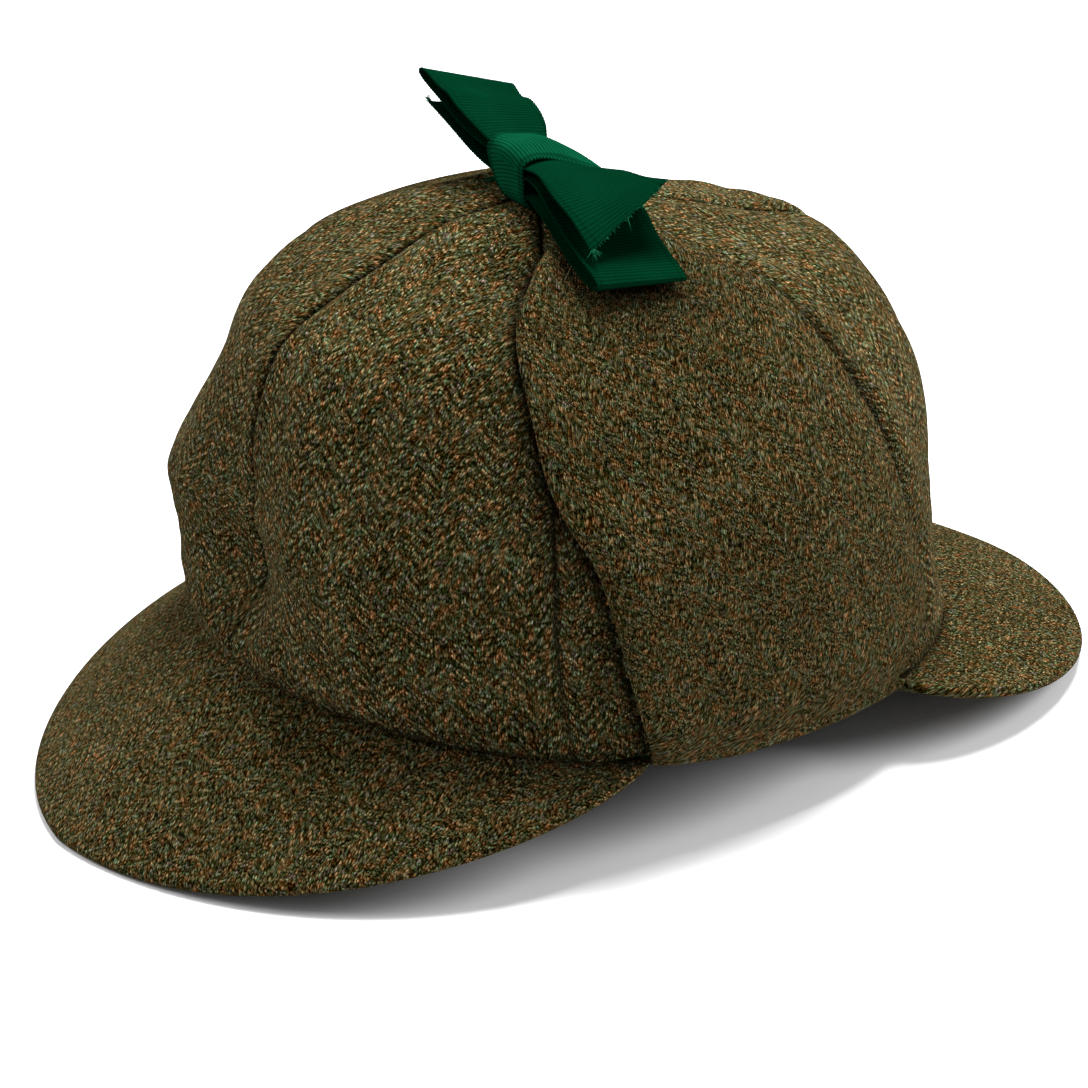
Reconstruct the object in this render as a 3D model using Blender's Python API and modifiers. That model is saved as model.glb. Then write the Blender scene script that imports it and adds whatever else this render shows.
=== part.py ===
"""A tweed deerstalker hat with a green ribbon bow, lying on its two peaks.

Metres, +Z up. The wearer's face is towards -Y and the wearer's left towards +X.
The origin is at the middle of the hat's outline, on the surface that it rests on.

The crown is six sewn gores. Two ear flaps fold up round its rim and are tied over the
top by ribbons, whose bow lies across the head from side to side. Every piece follows
one crown surface: an azimuth (0 at the front, positive towards the wearer's left) and a
level (-1 at the rim, 0 at the widest ring, 1 at the top).
"""

import math

import bpy
import numpy as np

MM = 0.001

# ---- Driving dimensions -------------------------------------------------------------

# The rim: an ellipse in plan, higher at the front than at the sides and the back.
RIM_HALF_LENGTH = 105.0 * MM
RIM_HALF_WIDTH = 87.5 * MM
RIM_MIDDLE_Y = 2.8 * MM
RIM_FRONT_Z = 40.0 * MM
RIM_SIDE_Z = 21.4 * MM
RIM_REAR_Z = 17.1 * MM
RIM_RISE_POWER = 1.6

# The widest ring of the crown and the top.
WIDEST_FRONT = 103.9 * MM
WIDEST_REAR = 103.3 * MM
WIDEST_HALF_WIDTH = 89.5 * MM
WIDEST_MIDDLE_Y = -2.7 * MM
TOP_Y = -5.3 * MM

# The dome above the widest ring, as heights in mm over a share of the plan radius.
DOME_COLUMNS = ("share", "front", "side", "rear")
DOME = (
    (0.00, 147.6, 147.6, 147.6),
    (0.25, 146.3, 142.4, 141.5),
    (0.45, 139.6, 135.4, 136.0),
    (0.62, 132.4, 130.2, 129.9),
    (0.76, 124.2, 118.9, 126.3),
    (0.88, 103.1, 101.8, 112.8),
    (0.96, 83.8, 89.3, 96.5),
    (1.00, 74.2, 72.0, 69.8),
)

# Gores: their seams' azimuths, wall, padding between the seams and the dip at a seam.
SEAM_DEGREES = (-180.0, -118.0, -63.0, 0.0, 63.0, 118.0, 180.0)
GORE_NAMES = (
    "gore_rear_right",
    "gore_side_right",
    "gore_front_right",
    "gore_front_left",
    "gore_side_left",
    "gore_rear_left",
)
GORE_COLUMNS = {"front": 13, "side": 8, "rear": 8}
GORE_WALL = 2.0 * MM
SEAM_GAP = 0.3 * MM
GORE_SWELL = 0.6 * MM
SEAM_DIP = 1.2 * MM
SEAM_DIP_POWER = 2.2
GORE_TIP_LEVEL = 0.985

# The crown's front is pushed in at its middle seam, and bulges beside it.
BUCKLE_DEPTH = 15.5 * MM
BUCKLE_Z = 64.0 * MM
BUCKLE_DEGREES = 16.0
BUCKLE_SPREAD_UP = 29.0 * MM
BUCKLE_SPREAD_DOWN = 15.5 * MM
# Columns: depth in mm, azimuth and its spread in degrees, height and its spread in mm.
DENTS = (
    (-1.2, -31.0, 14.0, 77.0, 13.0),
    (1.5, -31.0, 16.0, 102.0, 8.0),
)

# Peaks: crescents of stiffened cloth, sewn to the rim, whose tips reach the ground.
PEAK_THICKNESS = 3.0 * MM
PEAK_SEAM_GAP = 0.6 * MM
PEAK_ROOT_RISE = 1.2 * MM
PEAK_CROWNING = 2.0 * MM
PEAK_FLAT_STRIP = 2.5 * MM
PEAK_FLAT_DEGREES = 8.0
# Columns: name, middle azimuth, reach in mm, half span in degrees, then the powers of the
# outline's fall from the middle, of its width, and of the edge's rise to the ends.
PEAKS = (
    ("front_peak", 0.0, 50.75, 74.0, 1.23, 0.72, 1.9),
    ("rear_peak", 180.0, 45.15, 60.3, 1.71, 0.52, 1.8),
)
PEAK_END_SHARE = 0.985

# Ear flaps: where their edges run on the crown, from the rim up to the tip.
FLAP_WALL = 2.4 * MM
FLAP_STANDOFF = 3.6 * MM
# Columns: name, side, and how far its front edge stands off.
FLAP_SIDES = (("ear_flap_left", 1, 2.2 * MM), ("ear_flap_right", -1, 0.8 * MM))
# Columns: level, the front and the rear edge in degrees, the share of the edge's lift.
FLAP = (
    (-0.93, 74.6, 119.5, 0.5),
    (-0.84, 74.4, 126.0, 0.9),
    (-0.74, 74.0, 131.0, 1.0),
    (-0.56, 73.2, 132.0, 1.0),
    (-0.36, 72.4, 131.0, 1.0),
    (-0.14, 71.4, 128.6, 1.0),
    (0.03, 70.0, 124.8, 0.9),
    (0.12, 68.4, 123.0, 0.7),
    (0.20, 65.8, 122.3, 0.5),
    (0.30, 62.6, 122.0, 0.4),
    (0.41, 59.9, 120.8, 0.5),
    (0.51, 57.1, 121.0, 0.6),
    (0.60, 56.2, 122.0, 0.8),
    (0.68, 58.0, 122.6, 1.0),
    (0.74, 60.0, 121.4, 0.8),
    (0.79, 66.0, 115.0, 0.4),
    (0.82, 77.0, 104.0, 0.0),
)
# The fold of the flap under the rim. Columns: out from the rim's edge, and up, in mm.
FLAP_HEM = ((-1.4, 0.0), (1.2, 0.0), (2.9, 0.9), (3.6, 2.8))
RIM_LIFT_UNDER_FLAP = 3.0 * MM
RIM_LIFT_RAMPS = (66.0, 72.0, 123.0, 129.0)

# The ribbon band inside the rim, whose lower edge shows below the flaps.
BAND_HEIGHT = 25.0 * MM
BAND_DROP = 0.8 * MM
BAND_THICKNESS = 1.0 * MM
BAND_INSET = 2.7 * MM
BAND_SIDES = 60

# The bow, of 25 mm ribbon. Each row is one line across a ribbon. Columns, in mm: x, y and
# z of its front selvedge, then of its rear selvedge.
RIBBON_THICKNESS = 0.9 * MM
LOOP_RIGHT = (
    (-0.6, -13.2, 161.2, -0.6, 3.4, 155.8),
    (-7.0, -13.6, 161.6, -12.8, 3.6, 156.1),
    (-12.0, -16.6, 164.2, -16.6, 6.6, 158.6),
    (-20.0, -17.8, 167.8, -21.0, 7.2, 161.4),
    (-29.0, -17.8, 170.6, -29.3, 7.2, 162.4),
    (-37.6, -17.8, 172.8, -34.4, 7.2, 164.6),
    (-39.2, -17.8, 171.8, -35.8, 7.2, 163.4),
    (-37.4, -17.8, 170.4, -34.2, 7.2, 162.0),
    (-28.0, -17.8, 167.4, -27.0, 7.2, 159.2),
    (-19.0, -17.2, 163.4, -19.0, 6.6, 157.0),
    (-12.0, -15.6, 161.0, -14.0, 4.4, 154.9),
    (-7.0, -13.9, 160.0, -12.0, 3.0, 154.5),
    (-0.6, -13.6, 159.8, -0.6, 3.0, 154.4),
)
TAIL_RIGHT = (
    (-0.6, -14.0, 158.4, -0.6, 2.6, 153.1),
    (-7.0, -14.0, 158.4, -12.0, 2.6, 152.9),
    (-14.0, -16.4, 159.4, -16.0, 5.2, 153.6),
    (-25.0, -17.8, 163.0, -24.0, 7.0, 156.2),
    (-35.4, -17.8, 164.8, -32.0, 7.0, 158.0),
)
LOOP_LEFT = (
    (0.6, -13.6, 159.8, 0.6, 3.0, 154.4),
    (8.4, -13.8, 159.4, 14.2, 3.2, 154.2),
    (18.0, -17.0, 156.6, 22.0, 6.4, 153.4),
    (28.0, -18.2, 152.4, 32.0, 6.6, 150.2),
    (37.0, -18.8, 147.6, 38.0, 6.2, 145.8),
    (45.0, -19.6, 144.6, 46.0, 5.4, 142.4),
    (51.2, -20.0, 142.8, 52.6, 5.0, 140.0),
    (52.4, -20.0, 141.6, 53.8, 5.0, 138.9),
    (51.0, -19.8, 140.7, 52.2, 5.0, 138.3),
    (42.0, -19.4, 142.4, 43.0, 5.4, 141.0),
    (32.0, -18.4, 145.4, 33.0, 6.0, 144.4),
    (22.0, -17.0, 149.8, 23.0, 6.0, 147.8),
    (13.0, -14.6, 154.4, 15.6, 3.4, 151.4),
    (8.0, -14.0, 157.0, 14.2, 2.6, 152.4),
    (0.6, -14.0, 158.4, 0.6, 2.6, 153.1),
)
TAIL_LEFT = (
    (0.6, -13.2, 161.2, 0.6, 3.4, 155.8),
    (8.4, -13.4, 161.0, 14.4, 3.6, 156.0),
    (17.0, -16.8, 159.9, 20.0, 6.6, 157.0),
    (28.0, -17.8, 157.6, 31.0, 7.2, 158.6),
    (37.0, -17.8, 154.2, 37.5, 7.2, 160.0),
    (46.2, -17.8, 148.6, 42.8, 7.2, 161.4),
)
RIBBONS = (
    ("ribbon_loop_right", LOOP_RIGHT),
    ("ribbon_tail_right", TAIL_RIGHT),
    ("ribbon_loop_left", LOOP_LEFT),
    ("ribbon_tail_left", TAIL_LEFT),
)
# The knot: a band wound round the ribbons, an ellipse seen along X.
KNOT_MIDDLE_Y = -5.5 * MM
KNOT_MIDDLE_Z = 155.9 * MM
KNOT_HALF_LENGTH = 13.6 * MM
KNOT_HALF_HEIGHT = 6.8 * MM
KNOT_TILT_DEGREES = 18.0
KNOT_THICKNESS = 1.0 * MM
KNOT_RIGHT_X = -9.5 * MM
KNOT_LEFT_X = 11.0 * MM
KNOT_SKEW = 3.0 * MM
KNOT_SIDES = 24
# The ties: the stretch of ribbon from each flap's tip to the knot, close on the crown.
TIE_START_X = 15.2 * MM
TIE_END_X = 24.5 * MM
TIE_HALF_WIDTH = 10.0 * MM
TIE_STANDOFF = 2.0 * MM

# Colours, linear.
TWEED = (0.060, 0.048, 0.026, 1.0)
TWEED_DARK = (0.045, 0.038, 0.022, 1.0)
RIBBON_GREEN = (0.004, 0.085, 0.042, 1.0)


# ---- Curves -------------------------------------------------------------------------


def column(table, columns, name):
    """One named column of a table, as an array."""
    return np.array([row[columns.index(name)] for row in table], float)


def smooth_through(knots, values, at):
    """A curve through the values that never overshoots them, flat at its first knot."""
    steps = np.diff(knots)
    slopes = np.diff(values) / steps
    tangents = np.zeros(len(knots))
    tangents[-1] = slopes[-1]
    for i in range(1, len(knots) - 1):
        if slopes[i - 1] * slopes[i] > 0:
            before = 2 * steps[i] + steps[i - 1]
            after = steps[i] + 2 * steps[i - 1]
            tangents[i] = (before + after) / (before / slopes[i - 1] + after / slopes[i])
    i = np.clip(np.searchsorted(knots, at, side="right") - 1, 0, len(steps) - 1)
    t = (at - knots[i]) / steps[i]
    return (
        (2 * t**3 - 3 * t**2 + 1) * values[i]
        + (t**3 - 2 * t**2 + t) * steps[i] * tangents[i]
        + (3 * t**2 - 2 * t**3) * values[i + 1]
        + (t**3 - t**2) * steps[i] * tangents[i + 1]
    )


def bell(distance, spread):
    """1 at no distance, falling smoothly to 0 past the spread."""
    return np.exp(-((distance / spread) ** 2))


def around(azimuth, front, side, rear):
    """A value that turns from the front's to the side's to the rear's round the crown."""
    towards_front = np.cos(azimuth)
    return np.where(towards_front > 0, front, rear) * towards_front**2 + side * (
        1 - towards_front**2
    )


def signed_degrees(azimuth):
    """The azimuth in degrees, from -180 to 180."""
    return np.degrees((azimuth + math.pi) % (2 * math.pi) - math.pi)


# ---- The crown's surface ------------------------------------------------------------


def rim_points(azimuth):
    """The rim's line."""
    towards_front = np.cos(azimuth)
    end_z = np.where(towards_front > 0, RIM_FRONT_Z, RIM_REAR_Z)
    rise = np.abs(towards_front) ** RIM_RISE_POWER
    return np.stack(
        [
            RIM_HALF_WIDTH * np.sin(azimuth),
            RIM_MIDDLE_Y - RIM_HALF_LENGTH * towards_front,
            RIM_SIDE_Z + (end_z - RIM_SIDE_Z) * rise,
        ],
        axis=-1,
    )


def rim_outward(azimuth):
    """The level direction that points straight out of the rim's ellipse."""
    out = np.stack(
        [np.sin(azimuth) / RIM_HALF_WIDTH, -np.cos(azimuth) / RIM_HALF_LENGTH, 0 * azimuth],
        axis=-1,
    )
    return out / np.linalg.norm(out, axis=-1, keepdims=True)


def plain_crown(azimuth, level):
    """The crown's form without its seams and dents."""
    front, side, rear = (column(DOME, DOME_COLUMNS, name) * MM for name in DOME_COLUMNS[1:])
    rim = rim_points(azimuth)
    half_length = np.where(np.cos(azimuth) > 0, WIDEST_FRONT, WIDEST_REAR)
    across = WIDEST_HALF_WIDTH * np.sin(azimuth)
    along = -half_length * np.cos(azimuth)
    # Below the widest ring the wall leans out from the rim.
    low = np.clip(level + 1, 0, 1)
    lean = np.sin(low * math.pi / 2)
    widest_z = around(azimuth, front[-1], side[-1], rear[-1])
    lower = np.stack(
        [
            rim[..., 0] + (across - rim[..., 0]) * lean,
            rim[..., 1] + (WIDEST_MIDDLE_Y + along - rim[..., 1]) * lean,
            rim[..., 2] + (widest_z - rim[..., 2]) * low,
        ],
        axis=-1,
    )
    # Above it the dome closes in, its height read at an angle so that it starts upright.
    angle = (1 - np.clip(level, 0, 1)) * math.pi / 2
    share = np.sin(angle)
    knots = np.arcsin(column(DOME, DOME_COLUMNS, "share"))
    upper = np.stack(
        [
            across * share,
            (WIDEST_MIDDLE_Y + along) * share + TOP_Y * (1 - share),
            around(azimuth, *(smooth_through(knots, line, angle) for line in (front, side, rear))),
        ],
        axis=-1,
    )
    return np.where((level < 0)[..., None], lower, upper)


def outward_normal(surface, azimuth, level, step=1e-3):
    """The unit normal of a surface given as a function of azimuth and level."""
    along = surface(azimuth + step, level) - surface(azimuth - step, level)
    up = surface(azimuth, np.minimum(level + step, 1)) - surface(azimuth, np.maximum(level - step, -1))
    normal = np.cross(along, up)
    return normal / np.maximum(np.linalg.norm(normal, axis=-1, keepdims=True), 1e-12)


def crown(azimuth, level):
    """The crown's outer surface, with its padded gores, dipped seams, buckle and dents."""
    azimuth, level = np.broadcast_arrays(np.asarray(azimuth, float), np.asarray(level, float))
    points = plain_crown(azimuth, level)
    normal = outward_normal(plain_crown, azimuth, level)
    degrees = signed_degrees(azimuth)
    seams = np.array(SEAM_DEGREES)
    gore = np.clip(np.searchsorted(seams, degrees, side="right") - 1, 0, len(seams) - 2)
    middle = (seams[gore] + seams[gore + 1]) / 2
    half = (seams[gore + 1] - seams[gore]) / 2
    to_seam = np.abs(degrees - middle) / half
    width_share = np.cos(np.clip(level, 0, 1) * math.pi / 2) ** 0.7
    off_rim = np.clip((level + 1) / 0.3, 0, 1)
    swell = (GORE_SWELL - (GORE_SWELL + SEAM_DIP) * to_seam**SEAM_DIP_POWER) * width_share * off_rim
    above = points[..., 2] - BUCKLE_Z
    spread = np.where(above > 0, BUCKLE_SPREAD_UP, BUCKLE_SPREAD_DOWN)
    inwards = BUCKLE_DEPTH * bell(degrees, BUCKLE_DEGREES) * bell(above, spread)
    for depth, at, wide, z, tall in DENTS:
        inwards = inwards + depth * MM * bell(degrees - at, wide) * bell(points[..., 2] - z * MM, tall * MM)
    out = np.stack([np.sin(azimuth), -np.cos(azimuth), 0 * azimuth], axis=-1)
    return points + normal * swell[..., None] - out * inwards[..., None]


# ---- Making objects -----------------------------------------------------------------


def clear_scene():
    for obj in list(bpy.data.objects):
        bpy.data.objects.remove(obj)


def material(name, colour, roughness):
    """A plain finish of one colour."""
    finish = bpy.data.materials.new(name)
    finish.use_nodes = True
    shader = finish.node_tree.nodes["Principled BSDF"]
    shader.inputs["Base Color"].default_value = colour
    shader.inputs["Roughness"].default_value = roughness
    shader.inputs["Metallic"].default_value = 0.0
    return finish


def new_object(collection, name, points, faces, colour):
    """A smooth-shaded mesh object with its own material."""
    mesh = bpy.data.meshes.new(name)
    mesh.from_pydata([tuple(map(float, point)) for point in points], [], faces)
    mesh.validate()
    mesh.shade_smooth()
    mesh.set_sharp_from_angle(angle=math.radians(40))
    mesh.materials.append(material(name, colour, 0.9))
    obj = bpy.data.objects.new(name, mesh)
    collection.objects.link(obj)
    return obj


def grid_faces(rows, columns, closed=False):
    """The quads of a grid of points, which face along (columns' way) x (rows' way)."""
    wrap = columns if closed else columns - 1
    return [
        (
            row * columns + at,
            row * columns + (at + 1) % columns,
            (row + 1) * columns + (at + 1) % columns,
            (row + 1) * columns + at,
        )
        for row in range(rows - 1)
        for at in range(wrap)
    ]


def cloth(collection, name, grid, wall, colour, closed=False, offset=-1.0):
    """A sheet with a wall's thickness, from a grid of points on its outer face."""
    rows, columns = grid.shape[:2]
    obj = new_object(
        collection, name, grid.reshape(-1, 3), grid_faces(rows, columns, closed), colour
    )
    solid = obj.modifiers.new("wall", "SOLIDIFY")
    solid.thickness = wall
    solid.offset = offset
    return obj


# ---- The pieces ---------------------------------------------------------------------


def gore_levels():
    """The rows of a gore, closer together where the crown curves most."""
    low = np.linspace(-1, 0, 8)[:-1]
    high = np.linspace(0, 0.90, 13)
    return np.concatenate([low, high, [0.95, GORE_TIP_LEVEL]])


def rim_lift(degrees):
    """How far a gore's lower edge stops short of the rim's line, to leave room for a flap."""
    start, full, end_full, end = RIM_LIFT_RAMPS
    away = np.abs(degrees)
    return RIM_LIFT_UNDER_FLAP * np.interp(away, (start, full, end_full, end), (0, 1, 1, 0))


def make_gore(collection, name, first_seam, last_seam, columns):
    """One of the six panels of the crown."""
    levels = gore_levels()
    share = np.linspace(0, 1, columns)[None, :]
    radius = WIDEST_HALF_WIDTH * np.cos(np.clip(levels, 0, 1) * math.pi / 2)[:, None]
    margin = np.degrees(SEAM_GAP / 2 / radius)
    degrees = (first_seam + margin) * (1 - share) + (last_seam - margin) * share
    level = np.repeat(levels[:, None], columns, axis=1)
    lift_share = np.clip(-level, 0, 1)
    height = (DOME[-1][2] * MM) - RIM_SIDE_Z
    level = level + rim_lift(degrees) / height * lift_share
    grid = crown(np.radians(degrees), level)
    return cloth(collection, name, grid, GORE_WALL, TWEED)


def make_peak(collection, name, middle, reach, span, reach_power, width_power, rise_power):
    """A crescent lofted through sections that stand square to the rim."""
    shares = PEAK_END_SHARE * np.sin(np.linspace(-1, 1, 35) * math.pi / 2)
    azimuth = np.radians(middle + span * shares)
    rim = rim_points(azimuth)
    out = rim_outward(azimuth)
    away = np.abs(shares)
    width = reach * MM * (1 - away**reach_power) ** width_power
    flat = PEAK_FLAT_DEGREES / span
    edge_z = rim[:, 2] * np.clip((away - flat) / (1 - flat), 0, 1) ** rise_power
    sections = []
    for start, direction, wide, low in zip(rim, out, width, edge_z):
        root_z = start[2] + PEAK_ROOT_RISE
        top_z = low + PEAK_THICKNESS
        strip = min(PEAK_FLAT_STRIP, wide / 3)
        run = wide - PEAK_SEAM_GAP - PEAK_THICKNESS / 3
        fall = math.atan2(root_z - top_z, run)
        drop = PEAK_THICKNESS / math.cos(fall)
        crowning = PEAK_CROWNING * wide / (reach * MM)
        upper = []
        for part in (0.0, 0.25, 0.5, 0.75, 1.0):
            z = root_z + (top_z - root_z) * part + crowning * 4 * part * (1 - part)
            upper.append((PEAK_SEAM_GAP + run * part, z))
        edge = [
            (wide, low + 0.72 * PEAK_THICKNESS),
            (wide, low + 0.25 * PEAK_THICKNESS),
            (wide - PEAK_THICKNESS / 4, low),
        ]
        inner = [(wide - PEAK_THICKNESS / 4 - strip, low)]
        for part in (0.62, 0.31, 0.0):
            z = root_z + (top_z - root_z) * part + crowning * 4 * part * (1 - part) - drop
            inner.append((PEAK_SEAM_GAP + run * part, z))
        outline = upper + edge + inner
        sections.append([start * (1, 1, 0) + direction * s + (0, 0, z) for s, z in outline])
    count = len(sections[0])
    faces = grid_faces(len(sections), count, closed=True)
    faces.append(tuple(reversed(range(count))))
    faces.append(tuple(range((len(sections) - 1) * count, len(sections) * count)))
    points = [point for section in sections for point in section]
    return new_object(collection, name, points, faces, TWEED_DARK)


def make_flap(collection, name, side, edge_lift):
    """An ear flap, folded up round the rim and lying on the crown up to its ribbon."""
    share = np.concatenate([[0, 0.025, 0.06, 0.11, 0.18], np.linspace(0.27, 0.93, 8), [0.97, 1]])
    rows = []
    hem_ends = FLAP[0][1:3]
    hem = np.radians(hem_ends[0] + (hem_ends[1] - hem_ends[0]) * share)
    for out, up in FLAP_HEM:
        rows.append(rim_points(hem) + rim_outward(hem) * out * MM + np.array([0, 0, up * MM]))
    for level, front, rear, lift in FLAP:
        azimuth = np.radians(front + (rear - front) * share)
        at = np.full_like(azimuth, level)
        raised = edge_lift * lift * bell(share - 0.06, 0.07) * np.minimum(share / 0.03, 1)
        standoff = FLAP_STANDOFF + raised
        normal = outward_normal(plain_crown, azimuth, at)
        rows.append(plain_crown(azimuth, at) + normal * standoff[:, None])
    grid = np.array(rows)
    if side < 0:
        grid = grid[:, ::-1] * (-1, 1, 1)
    return cloth(collection, name, grid, FLAP_WALL, TWEED)


def make_band(collection):
    """The ribbon band that lines the rim."""
    azimuth = np.linspace(-math.pi, math.pi, BAND_SIDES + 1)[:-1]
    heights = np.linspace(0, 1, 5)
    rim = rim_points(azimuth)[:, 2]
    widest = around(azimuth, *(row * MM for row in DOME[-1][1:]))
    rows = []
    for share in heights:
        level = -1 + share * BAND_HEIGHT / (widest - rim)
        points = crown(azimuth, level) - outward_normal(crown, azimuth, level) * BAND_INSET
        points[:, 2] -= BAND_DROP * (1 - share)
        rows.append(points)
    return cloth(collection, "inner_band", np.array(rows), BAND_THICKNESS, RIBBON_GREEN, closed=True)


def make_ribbon(collection, name, table):
    """A length of ribbon through lines that cross it."""
    points = np.array(table) * MM
    shares = np.linspace(0, 1, 5)[:, None]
    grid = np.array([line[:3] + (line[3:] - line[:3]) * shares for line in points])
    return cloth(collection, name, grid, RIBBON_THICKNESS, RIBBON_GREEN, offset=0.0)


def make_knot(collection):
    """The band of ribbon wound once round the bow's middle."""
    turn = np.linspace(0, 2 * math.pi, KNOT_SIDES + 1)[:-1]
    tilt = math.radians(-KNOT_TILT_DEGREES)
    along = -KNOT_HALF_LENGTH * np.cos(turn)
    up = KNOT_HALF_HEIGHT * np.sin(turn)
    y = KNOT_MIDDLE_Y + along * math.cos(tilt) - up * math.sin(tilt)
    z = KNOT_MIDDLE_Z + along * math.sin(tilt) + up * math.cos(tilt)
    rows = []
    for share in np.linspace(0, 1, 5):
        narrowed = KNOT_SKEW * np.cos(turn) * (1 if share < 0.5 else -1) * abs(1 - 2 * share)
        x = KNOT_RIGHT_X + (KNOT_LEFT_X - KNOT_RIGHT_X) * share + narrowed
        rows.append(np.stack([x, y, z], axis=-1))
    grid = np.array(rows)[:, ::-1]
    return cloth(collection, "ribbon_knot", grid, KNOT_THICKNESS, RIBBON_GREEN, closed=True)


def make_tie(collection, name, side):
    """The ribbon's run from a flap's tip to the knot, close on the top of the crown."""
    rows = []
    for x in np.linspace(TIE_START_X, TIE_END_X, 4):
        line = []
        for across in np.linspace(-1, 1, 5) * TIE_HALF_WIDTH:
            azimuth = np.array(math.atan2(x, -across))
            share = math.hypot(x / WIDEST_HALF_WIDTH, across / WIDEST_FRONT)
            level = np.array(1 - math.asin(share) * 2 / math.pi)
            line.append(plain_crown(azimuth, level) + (0, 0, TIE_STANDOFF))
        rows.append(line)
    grid = np.array(rows)
    if side < 0:
        grid = grid[:, ::-1] * (-1, 1, 1)
    return cloth(collection, name, grid, RIBBON_THICKNESS, RIBBON_GREEN)


def main():
    clear_scene()
    hat = bpy.data.collections.new("deerstalker_hat")
    bpy.context.scene.collection.children.link(hat)
    for name, first, last in zip(GORE_NAMES, SEAM_DEGREES, SEAM_DEGREES[1:]):
        make_gore(hat, name, first, last, columns=GORE_COLUMNS[name.split("_")[1]])
    for row in PEAKS:
        make_peak(hat, *row)
    for name, side, edge_lift in FLAP_SIDES:
        make_flap(hat, name, side, edge_lift)
    make_band(hat)
    for name, table in RIBBONS:
        make_ribbon(hat, name, table)
    make_knot(hat)
    make_tie(hat, "ribbon_tie_left", 1)
    make_tie(hat, "ribbon_tie_right", -1)


main()
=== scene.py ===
"""A tweed deerstalker hat with a green ribbon bow, lying on its two peaks.

Metres, +Z up. The front points to -Y and the wearer's left is +X, as in the frame.
"""

import logging
import math
from dataclasses import dataclass, field
from enum import Enum

import bpy
import numpy as np
from mathutils import Matrix, Vector


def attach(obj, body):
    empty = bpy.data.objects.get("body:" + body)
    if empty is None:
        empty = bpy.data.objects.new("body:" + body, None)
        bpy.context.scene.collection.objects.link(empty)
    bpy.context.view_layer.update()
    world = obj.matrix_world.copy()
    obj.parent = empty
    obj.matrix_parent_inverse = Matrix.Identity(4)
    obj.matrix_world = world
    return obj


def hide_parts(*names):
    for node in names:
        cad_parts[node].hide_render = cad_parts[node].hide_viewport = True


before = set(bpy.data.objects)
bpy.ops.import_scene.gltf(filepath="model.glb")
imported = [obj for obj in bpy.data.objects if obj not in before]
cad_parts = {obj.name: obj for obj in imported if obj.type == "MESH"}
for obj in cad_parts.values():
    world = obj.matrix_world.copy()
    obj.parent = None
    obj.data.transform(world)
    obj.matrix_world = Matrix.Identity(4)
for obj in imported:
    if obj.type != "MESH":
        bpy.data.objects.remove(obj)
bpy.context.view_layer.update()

MM = 0.001
Array = np.ndarray
LOG = logging.getLogger("deerstalker_hat")


# ---- Shader nodes -------------------------------------------------------------------


class Signal:
    """A number that varies over a surface: arithmetic on it adds Math nodes."""

    def __init__(self, graph: "Graph", socket: bpy.types.NodeSocket) -> None:
        """Wrap an output socket of a graph."""
        self.graph = graph
        self.socket = socket

    def __add__(self, other: "Signal | float") -> "Signal":
        """Self plus other."""
        return self.graph.math("ADD", self, other)

    def __sub__(self, other: "Signal | float") -> "Signal":
        """Self minus other."""
        return self.graph.math("SUBTRACT", self, other)

    def __rsub__(self, other: "Signal | float") -> "Signal":
        """Other minus self."""
        return self.graph.math("SUBTRACT", other, self)

    def __mul__(self, other: "Signal | float") -> "Signal":
        """Self times other."""
        return self.graph.math("MULTIPLY", self, other)

    def __truediv__(self, other: "Signal | float") -> "Signal":
        """Self over other."""
        return self.graph.math("DIVIDE", self, other)

    def __pow__(self, other: "Signal | float") -> "Signal":
        """Self to the power of other."""
        return self.graph.math("POWER", self, other)

    __radd__ = __add__
    __rmul__ = __mul__

    def between(self, low: float, high: float) -> "Signal":
        """0 below low and 1 above high (or the other way round), smooth in the middle."""
        made = self.graph.node(
            "ShaderNodeMapRange",
            {"interpolation_type": "SMOOTHSTEP", "clamp": True},
            {"Value": self, "From Min": low, "From Max": high},
        )
        return Signal(self.graph, made.outputs["Result"])


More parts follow.
